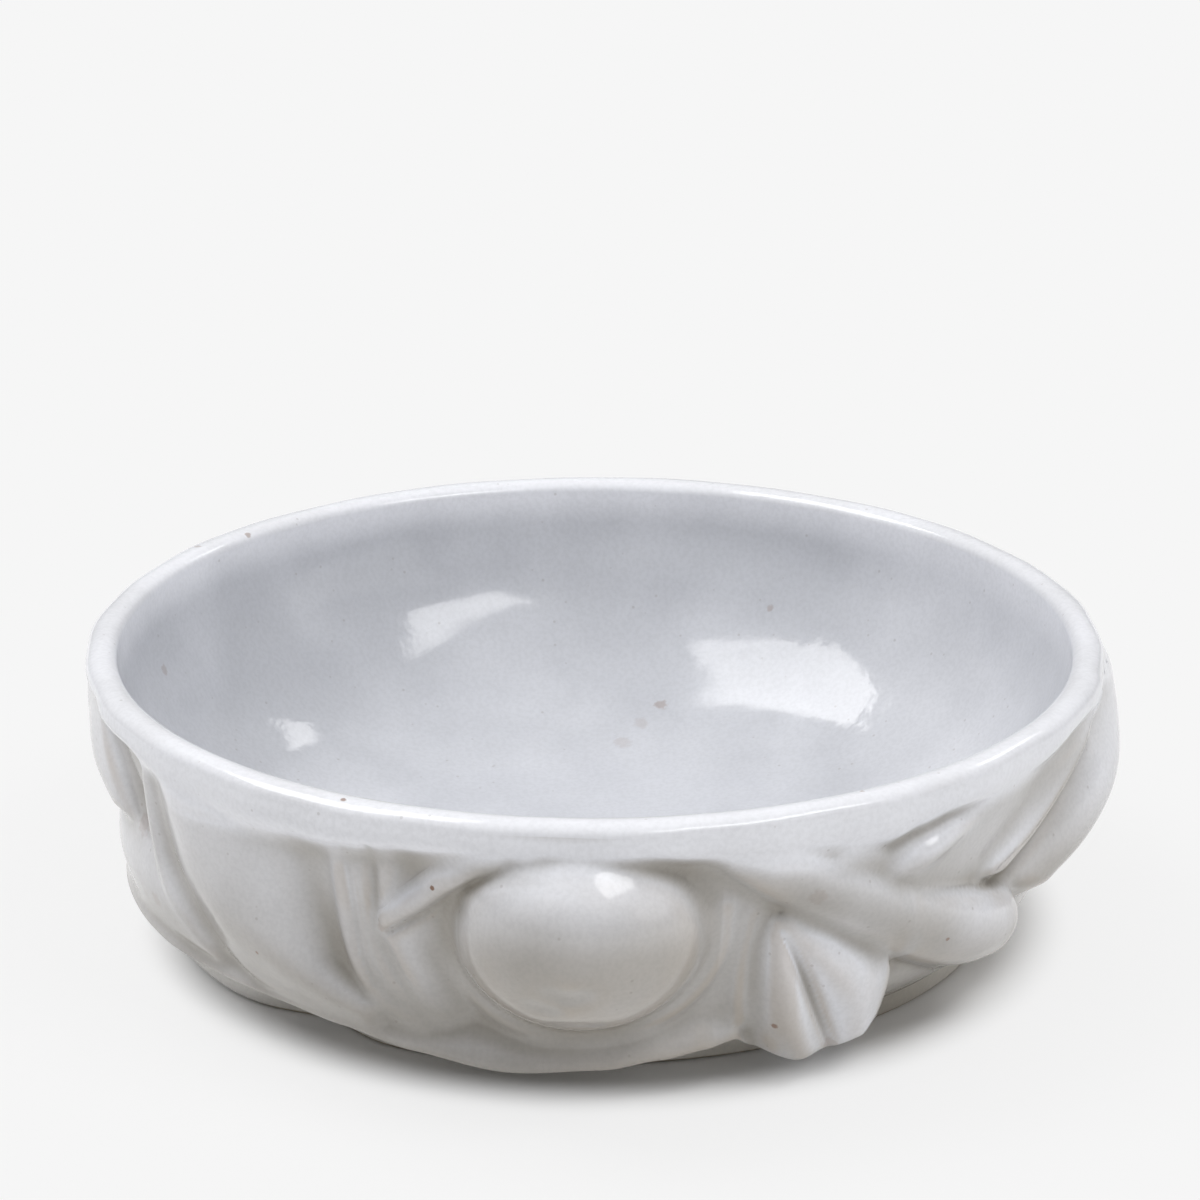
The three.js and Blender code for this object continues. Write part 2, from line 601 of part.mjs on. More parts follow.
// A named mesh from a solid, with its points moved to the hand-worked shape.
function mesh(name, shape, finish) {
  const { vertProperties, triVerts } = shape.warp((v) => {
    const [x, y, z] = handWorked([v[0], v[1], v[2]]);
    v[0] = x;
    v[1] = y;
    v[2] = z;
  }).getMesh();
  const geometry = new THREE.BufferGeometry();
  geometry.setAttribute("position", new THREE.BufferAttribute(vertProperties, 3));
  geometry.setIndex(new THREE.BufferAttribute(triVerts, 1));
  geometry.computeVertexNormals();
  const made = new THREE.Mesh(geometry, new THREE.MeshStandardMaterial(finish));
  made.name = name;
  return made;
}

const bowl = new THREE.Group();
bowl.name = "stoneware_bowl";
bowl.position.x = MIDDLE_OFFSET;
bowl.add(mesh("thrown_bowl", thrownBowl(), CLAY));
bowl.add(mesh("foot_ring", footRing(), BARE_CLAY));
bowl.add(mesh("rim_band", rimBand(), RIM_CLAY));

const band = bandRoom();
const rooms = [];
for (const piece of skirtPieces()) {
  bowl.add(mesh(piece.name, trimmed(piece, rooms, band), CLAY));
  rooms.push(padRoom(piece));
}

export default bowl;
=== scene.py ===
import math

import bpy
import numpy as np
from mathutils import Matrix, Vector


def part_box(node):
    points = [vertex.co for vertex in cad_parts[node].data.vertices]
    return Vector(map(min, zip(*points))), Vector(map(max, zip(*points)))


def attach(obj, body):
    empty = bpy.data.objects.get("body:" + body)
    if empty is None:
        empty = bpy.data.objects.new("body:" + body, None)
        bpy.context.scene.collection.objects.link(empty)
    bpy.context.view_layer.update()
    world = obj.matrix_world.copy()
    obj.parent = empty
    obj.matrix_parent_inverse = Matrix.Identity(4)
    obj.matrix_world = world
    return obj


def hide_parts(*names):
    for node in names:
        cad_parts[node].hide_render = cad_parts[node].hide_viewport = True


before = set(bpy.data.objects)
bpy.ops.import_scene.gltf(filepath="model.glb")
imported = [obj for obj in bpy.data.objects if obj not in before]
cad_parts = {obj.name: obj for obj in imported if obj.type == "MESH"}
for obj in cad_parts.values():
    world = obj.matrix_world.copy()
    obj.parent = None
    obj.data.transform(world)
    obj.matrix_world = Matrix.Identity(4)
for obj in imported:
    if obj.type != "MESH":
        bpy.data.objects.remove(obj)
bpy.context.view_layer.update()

# The thrown wall
# One lump of stoneware thrown on the wheel: a flat floor, a rounded basin and a wall that flares
# to the lip. It is knocked a little out of round when the modelling is pressed on to it.
HEIGHT = round(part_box("thrown_bowl")[1].z * 1000, 3)  # millimetres, as every size below
MIDDLE = -2.5  # the foot's middle, from the middle of the whole outline
LIP_RADIUS = 116.8
LIP_HALF = 2.5
WALL_FLARE = 0.252
UNDERSIDE = 6.3
FLOOR = 12
TUCK_HEIGHT = 22
TUCK_BEND = 2.2
BASE_RADIUS = 91.5
BASIN_ROUND = 1.6  # how soon the inside turns in below the lip
FLOOR_ROUND = 3.6  # how flat the middle of the floor is
BASE_SPREAD, BASE_LEAN = 8, 2
LIP_SPREAD, LIP_FORWARD, LIP_RIGHT = 1, 1, 0.8
SHOULDER = HEIGHT - LIP_HALF
MM_PER_DEGREE = math.radians(LIP_RADIUS)


def cone_radius(z):
    """Radius of the plain cone on which the modelling is laid out: it grows steadily with height."""
    return LIP_RADIUS + LIP_HALF - WALL_FLARE * (SHOULDER - z)


def wall_radius(z):
    """Outside of the thrown wall: the cone, less a power of how far a point is below the tuck."""
    tuck = np.clip((TUCK_HEIGHT - z) / (TUCK_HEIGHT - UNDERSIDE), 0, None)
    return cone_radius(z) - (cone_radius(UNDERSIDE) - BASE_RADIUS) * tuck**TUCK_BEND


def inner_radius(z):
    """Inside of the bowl: the lip's radius, times a root of one less a power of the depth, which
    makes a rounded basin that is steep below the lip and flat in the middle."""
    depth = np.clip((SHOULDER - z) / (SHOULDER - FLOOR), 0, 1)
    return (LIP_RADIUS - LIP_HALF) * (1 - depth**BASIN_ROUND) ** (1 / FLOOR_ROUND)


def hand_worked(degrees, radius, z):
    """Points in metres from angle, radius and height: the radius grows at the base with the
    square of the sine of the angle, and leans at the lip, each fading with height."""
    a = np.radians(degrees)
    high = z / HEIGHT
    base = BASE_SPREAD * np.sin(a) ** 2 - BASE_LEAN * np.sin(a)
    lip = LIP_SPREAD * np.cos(2 * a) + LIP_FORWARD * np.cos(a) + LIP_RIGHT * np.sin(a)
    share = np.minimum(1, radius / BASE_RADIUS)
    grown = radius + share * ((1 - high) ** 3 * base + high * lip)
    return np.stack([grown * np.sin(a) + MIDDLE, -grown * np.cos(a), z + 0 * a], -1) / 1000


def round_the_bowl(places):
    """A function of the angle through (degrees, value) places, joined by eased steps and closed."""
    at, values = np.array(places, float).T
    at = np.append(at, at[0] + 360)
    values = np.append(values, values[0])

    def value(degrees):
        turn = (degrees - at[0]) % 360 + at[0]
        i = np.clip(np.searchsorted(at, turn, side="right") - 1, 0, len(at) - 2)
        t = (turn - at[i]) / (at[i + 1] - at[i])
        return values[i] + (values[i + 1] - values[i]) * t * t * (3 - 2 * t)

    return value


# Height of the skirt's lower edge, which is lowest just left of the front.
skirt_edge = round_the_bowl([
    (-170, 12), (-110, 13), (-85, 15.5), (-65, 15), (-52, 13.9), (-40, 13.6), (-30, 12.6),
    (-21, 9.8), (-9, 7.9), (1, 9), (8, 11), (13, 12.6), (16.6, 13.6), (19.2, 10.6), (23.5, 8.3),
    (28, 9), (31.5, 10.8), (34.2, 13.8), (36.6, 7.2), (45, 6.9), (95, 6.9), (108, 11.5), (140, 11),
])


# How a form is drawn on the wall
# The modelled clay is laid out on the wall as it would be pressed on: lines are drawn at an angle
# round the bowl and a height up it, and each form stands off the wall by its own rise.
def cubic(a, b, c, d, share):
    """Value at a share of the way from b to c on the Catmull-Rom curve through four values: the
    cubic whose slopes at b and c are half the step between their neighbours."""
    bend = 2 * a - 5 * b + 4 * c - d
    return b + share / 2 * ((c - a) + share * (bend + share * (3 * (b - c) + d - a)))


def smooth_line(places, count=44):
    """Points in millimetres on a Catmull-Rom curve through (degrees, height) places."""
    at = np.array(places, float) * [MM_PER_DEGREE, 1]
    p = np.vstack([2 * at[0] - at[1], at, 2 * at[-1] - at[-2]])
    t = np.linspace(0, len(at) - 1, count)
    i = np.minimum(t.astype(int), len(at) - 2)
    f = (t - i)[:, None]
    return cubic(p[i], p[i + 1], p[i + 2], p[i + 3], f)


def from_line(line, across, up):
    """Distance of every wall point from a line and the share of the way along it, by the nearest
    of its perpendicular feet on the line's straight steps."""
    step = np.diff(line, axis=0)
    gap = np.stack([across, up], -1)[..., None, :] - line[:-1]
    share = np.clip((gap * step).sum(-1) / (step**2).sum(-1), 0, 1)
    distance = np.hypot(*np.moveaxis(gap - share[..., None] * step, -1, 0))
    nearest = distance.argmin(-1)[..., None]
    along = (nearest + np.take_along_axis(share, nearest, -1)) / len(step)
    return np.take_along_axis(distance, nearest, -1)[..., 0], along[..., 0]


def within(loop, across, up):
    """True for wall points inside a closed loop: a ray from them crosses it an odd number of times."""
    (x0, y0), (x1, y1) = loop[:-1].T, loop[1:].T
    x, y = across[..., None], up[..., None]
    run = np.where(y1 == y0, 1e-9, y1 - y0)
    return (((y0 > y) != (y1 > y)) & (x < x0 + (x1 - x0) * (y - y0) / run)).sum(-1) % 2 == 1


def along_it(values, t):
    """Value at t from 0 to 1 of an evenly spaced list, on a Catmull-Rom curve through it."""
    values = np.atleast_1d(np.array(values, float))
    if len(values) == 1:
        return values[0] + 0 * t
    marks = np.stack([np.arange(len(values)) / MM_PER_DEGREE, values], 1)
    curve = smooth_line(marks, 8 * len(values))
    return np.interp(t * (len(values) - 1), curve[:, 0], curve[:, 1])


def loft(rails, rises, fall, sharp=False):
    """Rise of a sheet laid over rails, lines that run side by side. Between two rails the rise
    goes by the share of the distance from each, straight if sharp and else on a Catmull-Rom
    curve over all the rails. Past the outline it falls by a fixed slope."""
    lines = [smooth_line(rail) for rail in rails]
    middle = lines[1:-1]
    loop = np.vstack([lines[0], *[line[-1:] for line in middle], lines[-1][::-1],
                      *[line[:1] for line in middle[::-1]], lines[0][:1]])
    share = np.linspace(0, 1, len(lines[0]))
    heights = [along_it(rise, share) for rise in rises]
    inner = heights[1:-1]
    loop_rise = np.concatenate([heights[0], [h[-1] for h in inner], heights[-1][::-1],
                                [h[0] for h in inner[::-1]], heights[0][:1]])

    def rise(across, up):
        out, along = from_line(loop, across, up)
        height = np.interp(along, np.linspace(0, 1, len(loop)), loop_rise) - fall * out
        for i in range(len(lines) - 1):
            inside = within(np.vstack([lines[i], lines[i + 1][::-1], lines[i][:1]]), across, up)
            x, y = across[inside], up[inside]
            gap_a, along_a = from_line(lines[i], x, y)
            gap_b, along_b = from_line(lines[i + 1], x, y)
            s = gap_a / np.maximum(gap_a + gap_b, 1e-9)
            t = along_a + (along_b - along_a) * s
            b, c = along_it(rises[i], t), along_it(rises[i + 1], t)
            a = along_it(rises[i - 1], t) if i else 2 * b - c
            d = along_it(rises[i + 2], t) if i + 2 < len(lines) else 2 * c - b
            height[inside] = b + (c - b) * s if sharp else cubic(a, b, c, d, s)
        return height

    return rise


def roll(places, half_widths, rises, fall=2.5, crest=0.5, foot=0.2):
    """Rise of a roll of clay along a line: foot, plus the rest times (1 - x squared) to the power
    crest, where x is the distance from the line in half widths. Outside it falls by a slope."""
    line = smooth_line(places)

    def rise(across, up):
        distance, along = from_line(line, across, up)
        half = along_it(half_widths, along)
        x = np.clip(distance / half, 0, 1)
        profile = foot + (1 - foot) * (1 - x * x) ** crest
        return along_it(rises, along) * profile - fall * np.maximum(0, distance - half)

    return rise


FORMS = {}  # name: the shapes that make the form, and the angles between which it lies
HOLLOWS = []  # pressed in with a tool or thumb, or filled up, once the forms are on
FINE = []  # thin lines drawn in the finished skin
MELTS = []  # where the glaze has run most and rounds the forms away
THINNED = []  # patches painted darker in the glaze's colour, as painted shade and partly thinner glaze, and with a depth below nothing painted lighter, as painted light


def form(name, first, last, *shapes):
    FORMS[name] = (shapes, first, last)


def bell(value, middle, spread, power=2):
    """A bell curve, 1 at its middle: the exponential of less the distance from there in spreads,
    to a power. Higher powers give it a flatter top and steeper sides."""
    return np.exp(-(np.abs((value - middle) / spread) ** power))


def hollow(places, width, depth, into=HOLLOWS):
    """A furrow along a line: its depth times a bell curve of the distance, with the width as its
    spread. A depth below nothing fills instead."""
    line = smooth_line(places)
    degrees = line[:, 0] / MM_PER_DEGREE

    def press(across, up):
        distance, along = from_line(line, across, up)
        return -along_it(depth, along) * bell(distance, 0, along_it(width, along))

    into.append((press, degrees.min() - 9, degrees.max() + 9))


# The rim coil
# A thick roll of clay round the lip, smoothed over on to it. Its lower edge wanders, and it is
# widest where the branch springs from it.
BAND_PROUD, BAND_SIDE_PROUD = 4.6, 3.2  # at the front and back, and at the sides
BAND_BULGE = ([0, 0.12, 0.27, 0.45, 0.7, 0.88, 1], [0.12, 0.5, 0.86, 1, 0.96, 0.78, 0.54])
BAND_WAVER = (0.09, 0.07)  # long and short swellings left by the fingers, as shares of its proudness
BAND_FALL = 0.9
band_edge = round_the_bowl([
    (-150, 62), (-110, 64.5), (-75, 66), (-62, 64), (-47, 58.6), (-33, 58), (-20, 60.8), (-10, 62.8),
    (5, 63), (13, 60.8), (20, 59), (26, 57.6), (32, 57.6), (36, 59.8), (40, 61.4), (54, 61.6), (64, 65),
    (80, 66), (110, 64.5), (150, 62),
])


def rim_coil(across, up):
    """Rise of the coil: its proudness, which wavers round the bowl, times a full round bulge
    between its lower edge and the shoulder, and below that edge a fall."""
    degrees = across / MM_PER_DEGREE
    sideways = np.sin(np.radians(degrees)) ** 4
    edge = band_edge(degrees)
    share = (up - edge) / (SHOULDER - edge)
    long_waver = BAND_WAVER[0] * np.sin(np.radians(11 * degrees + 40))
    short_waver = BAND_WAVER[1] * np.sin(np.radians(26 * degrees))
    proud = (BAND_PROUD + (BAND_SIDE_PROUD - BAND_PROUD) * sideways) * (1 + long_waver + short_waver)
    return proud * np.interp(share, *BAND_BULGE) - BAND_FALL * np.maximum(0, edge - up)


form("rim_band", -180, 180, rim_coil)

# The fruit
# A dome of clay pressed on at the middle of the front, with a thumb's dimple near its foot and two
# dents above it, in a thin crescent of clay that holds it from below.
FRUIT_MIDDLE = (-1.3, 42.8)
FRUIT_HALVES = (28.8, 24.2)
FRUIT_RISE = 20
FRUIT_SECTION = [1, 0.985, 0.93, 0.83, 0.68, 0.42, 0.02]  # from its middle out to its edge
FRUIT_LEAN = 0.12  # how much further out its foot stands than its top, for each millimetre
FRUIT_FALL = 1.6


def fruit_dome(middle, scale=1):
    """Rise of the dome: its section by the share of the way out to its oval outline, a lean
    outwards at its foot, and a steep fall outside it."""
    x0 = middle[0] * MM_PER_DEGREE

    def rise(across, up):
        x = (across - x0) / (FRUIT_HALVES[0] * scale)
        y = (up - middle[1]) / (FRUIT_HALVES[1] * scale)
        out = np.sqrt(x * x + y * y)
        dome = FRUIT_RISE * scale * along_it(FRUIT_SECTION, np.minimum(out, 1))
        outside = FRUIT_FALL * FRUIT_HALVES[1] * scale * np.maximum(0, out - 1)
        return dome - FRUIT_LEAN * (up - middle[1]) - outside

    return rise


def oval(middle, margin, first, last, scale=1, count=9):
    """Places on the fruit's outline grown by a margin, from one angle to another in degrees,
    counted from straight up."""
    a = np.radians(np.linspace(first, last, count))
    across = (FRUIT_HALVES[0] * scale + margin) * np.sin(a) / MM_PER_DEGREE
    up = (FRUIT_HALVES[1] * scale + margin) * np.cos(a)
    return np.stack([middle[0] + across, middle[1] + up], 1)


form("fruit", -17, 18, fruit_dome(FRUIT_MIDDLE))
form("fruit_cradle", -25, 25,
     roll(oval(FRUIT_MIDDLE, 3, 80, 288), [2.6], [1.6, 2.6, 3.2, 3, 1.6], 0.9),
     roll([(18.4, 44), (18, 36), (17.6, 27), (17.5, 18)], [2.8], [0.4, 1.2, 2.2, 3], 0.9))
hollow([(-3.5, 25.2), (-1.9, 25.6), (0.4, 25.2)], [2.4], [0.9])
hollow([(-3.8, 36.4), (-2.4, 35.4), (-0.8, 36.2)], [2.3], [1.1, 1.8, 1])
hollow([(-5.4, 32.2), (-3.8, 31)], [1.9], [1.3])
hollow([(-9, 63.4), (0, 64.2), (9, 63.8)], [2.4], [-0.9])  # fills its joint with the coil
hollow(oval(FRUIT_MIDDLE, 0, 222, 290), [4.5], [0.9, 1, 1, 0.6], MELTS)
hollow(oval(FRUIT_MIDDLE, 0, 30, 130), [4.5], [1, 1, 1, 0.9], MELTS)
# The fruit's middle and lower half are painted darker as painted shade, and its dimple lies in a thinner,
# beige glaze.
hollow([(-5, 37), (0, 35), (5, 37)], [18], [0.95], THINNED)
hollow([(-5, 32.6), (-2.4, 35.4)], [5], [0.3], THINNED)

# The stem left of the fruit
# Three ribs pulled down from the rim and swept in under the fruit, a folded twig that leans
# across from them, with a sharp crease under it, and below that a flat facet.
form("stem_rib_left", -33, -14,
     roll([(-27.2, 64), (-27.5, 50), (-27.6, 37), (-26.8, 27), (-24.3, 20), (-19.5, 15.8)],
          [2.6, 3, 3.2, 3, 2.6], [1.4, 2.4, 2.6, 2.4, 1.8], 1.2, 0.6, 0.1))
form("stem_rib_middle", -30, -14,
     roll([(-24.6, 64), (-25, 50), (-25.1, 36), (-23.8, 27.7), (-21.5, 22.3), (-18.8, 19.4)],
          [2.6, 2.8, 3, 3], [0.8, 1.4, 1.6, 1.4], 0.6, 0.6, 0.1))
form("stem_rib_right", -27, -18,
     roll([(-21.6, 64), (-22.1, 52), (-22.9, 40)], [2], [1, 1.4, 1.2], 0.6, 0.6, 0.1))
form("slanting_twig", -27, -5,
     loft([[(-23, 47), (-20, 52.6), (-17, 58.4), (-14.4, 64)],
           [(-23.2, 43.4), (-19.2, 49.6), (-15.6, 56), (-12.4, 61.6), (-11.4, 64)],
           [(-23.2, 40.4), (-18.1, 47.8), (-15, 53), (-12.1, 58), (-9, 63)]],
          [[0.2, 0.4], [3.4, 4.2, 4], [4, 5.4, 5]], 3, sharp=True))
form("fruit_facet", -27, -10,
     loft([[(-22.6, 38.4), (-21.4, 31), (-19.6, 23), (-17.5, 17)],
           [(-16.6, 46), (-16.2, 36), (-15.6, 27.4), (-14, 20)]],
          [[2.6, 2.4, 1.8], [0.4, 0.2, 0.4]], 1.2))
hollow([(-15.6, 52), (-16.4, 42), (-15.9, 32), (-13, 23)], [3.2], [0.6, 2.2, 2.2, 1])
hollow([(-19.5, 60), (-18.8, 55)], [4], [1])
hollow([(-12.2, 53.6), (-9.8, 58.4), (-7, 62.6)], [3], [-1.4, -2.4, -1.6])  # joins it to the fruit
hollow([(-26.3, 61), (-26.5, 48), (-26.5, 34), (-25.4, 25)], [0.7], [0.4, 0.7, 0.5], FINE)
hollow([(-23.2, 62.4), (-23.5, 55), (-23.9, 47), (-24.2, 41)], [0.9], [1.1, 1.1, 0.4], FINE)
hollow([(-22.6, 40), (-17.8, 46.9), (-14.8, 52), (-11.8, 57), (-9.2, 61.2)],
       [1], [1.2, 2, 2.2, 2.2, 1.2], FINE)

# The left side
# A long leaf that sweeps from the rim down to the skirt's edge, a vein along its back, a smooth
# lobe under that, and a second leaf that turns away round the side.
form("left_vein", -68, -43,
     roll([(-56.4, 64.8), (-58, 50), (-58.4, 40), (-57, 32), (-54, 25.6), (-50.4, 21)],
          [4.8, 5, 4.4, 2.8], [3.2, 4.2, 4.6, 3], 0.7, 0.7, 0.1))
form("left_leaf", -64, -20,
     loft([[(-54, 65), (-55.2, 50), (-54.6, 37.4), (-50, 26), (-43.5, 18.4), (-35.5, 15.6), (-26, 13)],
           [(-49.4, 65), (-46.8, 50), (-41.8, 38), (-36.4, 29.8), (-31.2, 24), (-26, 19)],
           [(-32, 63), (-30.6, 50), (-30, 40), (-29.4, 33), (-28.7, 27), (-26.5, 20.5)]],
          [[2.4, 2.2, 2.2, 2.8, 3], [5, 6.8, 7.6, 6.8, 4.8], [0, -0.8, -1.4, -1, 1]], 1.2))
form("left_lobe", -100, -44,
     loft([[(-56, 39), (-64, 41), (-76, 38), (-90, 37)],
           [(-53.5, 28), (-62, 29), (-75, 27.5), (-91, 28)],
           [(-50, 18.5), (-60, 18.5), (-74, 18), (-92, 18.7)]],
          [[1.6, 1.2], [4.2, 4.2, 3], [2.6, 2.2, 1.6]], 1.2))
form("left_side_leaf", -112, -58,
     loft([[(-75.5, 66), (-73.5, 56), (-71, 47), (-68, 40)],
           [(-83, 65), (-82, 56), (-80, 47), (-76, 39)],
           [(-104, 64), (-102, 55), (-97, 43), (-90, 37)]],
          [[0.8, 3, 3.4, 2], [1.6, 5, 6.2, 4.4], [0.6, 2.4, 2.6, 2]], 1.2))
hollow([(-71.5, 64), (-69, 56), (-66.2, 48), (-62.8, 42.5)], [3.6], [1, 2.4, 2.8, 2.2])
hollow([(-32.4, 59), (-32, 50), (-31.2, 40), (-30.2, 32), (-28.4, 25)],
       [5, 4.4, 3.4, 2.6], [0.9, 1.1, 1, 0.7, 0.3])
hollow([(-53.6, 64), (-55.2, 52), (-55.4, 41), (-53, 31), (-48, 22)], [4.6], [0.9, 1, 1, 1, 0.8], MELTS)
# Painted shade darkens the leaf's lower length and the channel by the vein, and painted light lightens the
# lobe and the leaf's upper crest.
hollow([(-46, 44), (-40, 30), (-32, 20)], [12], [0.2], THINNED)
hollow([(-62, 62), (-66, 50), (-66, 44)], [9], [0.35], THINNED)
hollow([(-58, 30), (-80, 30)], [9], [-0.22], THINNED)
hollow([(-52, 54), (-46, 42)], [9], [-0.15], THINNED)

# The branch
# A thick roll that springs from the rim coil, runs down to the right and ends in a blunt knob,
# and under it a leaf folded like a fan, with a flute between its two petals.
form("branch", 8, 62,
     roll([(13.5, 64), (19.5, 57), (28, 47.2), (37.5, 36.4), (46.5, 28.6), (52, 25.8)],
          [4, 6.6, 8.2, 9.6, 10.2, 9.6], [3.4, 6, 8, 9.2, 10.8, 10.2], 2.2, 0.5, 0.1))
form("fan_leaf", 14, 42,
     loft([[(19.9, 45), (18.9, 36), (18.6, 27), (18.9, 18), (21.4, 8)],
           [(20.1, 44), (20.9, 35), (21.6, 26), (22.4, 17), (24.3, 7)],
           [(20.4, 43), (22.6, 34), (24.3, 25), (25.9, 17), (27.8, 8)],
           [(20.8, 43), (24.8, 34.4), (28, 27), (30.4, 19), (31.2, 9)],
           [(22, 46), (28.6, 37), (33.8, 30.4), (35.9, 22.6), (35.2, 12)]],
          [[1, 3, 4, 5, 6.4], [3, 6, 7.8, 8.8, 9], [2.2, 3.8, 5, 6, 6.8],
           [3, 6, 7.8, 8.4, 8.4], [2, 3.6, 4.4, 4.8, 5]], 2.2))
hollow([(19.4, 44), (18.8, 34), (18.8, 24), (19.4, 15)], [2.2], [1, 2.4, 2.6, 1.4])
hollow([(20.6, 41), (22.8, 33), (24.6, 25), (26.3, 17), (28, 9.4)],
       [0.9], [0.3, 1.1, 1.2, 1.1, 0.6], FINE)
# Painted shade darkens the branch, and painted light lightens the fan and the knob.
hollow([(22, 52), (30, 44), (38, 36)], [9], [0.4], THINNED)
hollow([(26, 34), (28, 24), (30, 14)], [10.5], [-0.85], THINNED)
hollow([(46, 29), (52, 25)], [10], [-0.15], THINNED)

# The right side
# A stepped leaf above the branch, a strip that climbs from its crease to a vein, and past the
# knob a heavy fold of clay that bellies out over the foot.
form("ledge", 25, 50,
     loft([[(30.4, 55.4), (33.6, 58.8), (38.4, 61)], [(32.8, 51.6), (37, 55.8), (42.6, 59)],
           [(36.4, 46.6), (40.8, 54.6), (46.4, 62.6)]],
          [[1.4, 1.2, 1.4], [6.4, 8.2, 5], [5.2, 4.8, 3.6]], 1.6, sharp=True),
     roll([(27, 58.4), (31.4, 54.4)], [3.8], [4, 3.8], 1.2))
form("right_leaf", 32, 62,
     loft([[(36.2, 46.6), (40.8, 54.6), (46.4, 62.6)], [(45.3, 39), (51.5, 49), (57, 62)]],
          [[5.2, 4.8, 3.6], [2.4, 2.4, 2.2]], 1.6, sharp=True))
form("right_strip", 42, 72,
     loft([[(45.3, 39), (51.5, 49), (57, 62)], [(51, 41), (60, 51.5), (71, 64)]],
          [[2.4, 2.4, 2.2], [5.6, 5.4, 4]], 1.6, sharp=True))
form("right_vein", 46, 82,
     roll([(75, 67.7), (69, 60.5), (62, 53), (55.8, 46), (50.8, 41)], [2.6], [4.6, 6, 6.4], 1.1, 0.9))
form("right_fold", 48, 112,
     loft([[(78, 67.5), (72.5, 58), (66, 49.6), (59, 41.4), (53.5, 34.4)],
           [(90, 66.5), (86, 54.5), (78, 44.5), (68.5, 36), (60, 30)],
           [(104, 65), (101, 50), (93, 37), (80, 29), (66, 25)]],
          [[2, 3.6, 4.6, 4, 3], [5, 10.2, 12.8, 11, 7], [2, 4, 5, 4.2, 3]], 1.3))
hollow([(77, 66), (71, 58), (64.4, 50), (58.2, 42.4), (53.4, 37)], [3], [0.9], MELTS)
# Painted shade darkens the right side about the vein.
hollow([(64, 60), (62, 46), (60, 34)], [14], [0.45], THINNED)

# The back
# The photograph doesn't show it. It repeats the front's forms in their own order, a little
# smaller, as such a modelled bowl goes on round.
BACK_TURN = 178
BACK_SCALE = 0.86
BACK_MIDDLE = (FRUIT_MIDDLE[0] + BACK_TURN, FRUIT_MIDDLE[1])


def at_back(*places):
    return [(degrees + BACK_TURN, z) for degrees, z in places]


form("back_branch", 183, 243,
     roll(at_back((13.5, 63), (21, 54.7), (32, 46), (45, 38), (56, 31.7)),
          [3.8, 7.5, 7.4, 6.4], [4.2, 6.8, 6.6, 5.4], 2.2))
form("back_fan_leaf", 192, 220,
     loft([at_back((20.9, 45), (19.9, 36), (19.6, 27), (19.9, 18), (22.4, 11)),
           at_back((21.4, 43), (23.6, 34), (25.3, 25), (26.9, 17), (28.2, 11)),
           at_back((22.2, 44.4), (28, 35), (33, 29), (36.4, 22), (35, 13))],
          [[1, 4, 7, 8], [2, 4, 5, 6], [2, 4, 6, 7]], 2.2))
form("back_fruit", 160, 197, fruit_dome(BACK_MIDDLE, BACK_SCALE))
form("back_cradle", 155, 203,
     roll(oval(BACK_MIDDLE, 2.8, 75, 285, BACK_SCALE), [2.8], [2.6, 3.8, 4, 3.8, 2.6], 0.9))
form("back_rib_left", 143, 163,
     roll(at_back((-28, 64), (-28.6, 43), (-27, 29), (-22.5, 18.7)), [2], [3.6], 1.6, 0.7))
form("back_rib_right", 147, 165,
     roll(at_back((-25.2, 64), (-25.6, 43), (-24, 30), (-20.5, 23.8)), [2], [3.2, 3.2, 2.6], 1.6, 0.7))
form("back_leaf", 114, 158,
     loft([at_back((-56, 62), (-54, 43), (-46, 26.6), (-36, 18.7), (-27, 15.8)),
           at_back((-50, 63), (-44.5, 47), (-38, 33), (-31, 24), (-26, 19)),
           at_back((-32, 63), (-31.6, 47), (-30.6, 34), (-28.6, 26), (-25.5, 21))],
          [[1.4, 1.8, 2.4], [4.4, 5.2, 4.4, 3.4], [0.2, 0.2, 1]], 1.5))
form("back_lobe", 222, 260,
     loft([at_back((50, 58), (58, 52), (66, 44.6)), at_back((62, 61), (66, 52), (70, 43)),
           at_back((74, 62), (76, 52), (74, 40))],
          [[1.6, 2.4, 2], [4, 5, 4], [1.6, 2, 1.6]], 1.2))

# The hem
# The skirt's lower edge is pulled out into a thin lip that overhangs the foot. Right of the fan
# there is none, and the wall tucks straight in.
HEM_SLOPE, HEM_CURVE = 0.35, 0.05
NO_HEM = -30
hem_front_reach = round_the_bowl([
    (-100, 2.6), (-75, 2.8), (-62, 3), (-52, 1.6), (-40, 1.6), (-25, 3.6), (-9, 6.6), (2, 6.4),
    (12, 5.6), (16, 4), (20, 1), (24, -12), (30, NO_HEM), (180, NO_HEM),
])
hem_back_reach = round_the_bowl([
    (-180, 4.5), (-110, 4.5), (-100, 4.6), (-96, NO_HEM), (104, NO_HEM), (109, 3), (125, 4.5),
])


def skirt_hem(reach):
    """Rise of the pulled-out edge: its reach at that angle, easing off with the height above the
    skirt's edge and with its square."""
    def rise(across, up):
        degrees = across / MM_PER_DEGREE
        above = np.maximum(0, up - skirt_edge(degrees))
        return reach(degrees) - HEM_SLOPE * above - HEM_CURVE * above**2

    return rise


form("hem_front", -104, 26, skirt_hem(hem_front_reach))
form("hem_back", 100, 270, skirt_hem(hem_back_reach))
# Painted shade darkens the hem at the front.
hollow([(-24, 14), (0, 12), (14, 14)], [9], [0.3], THINNED)

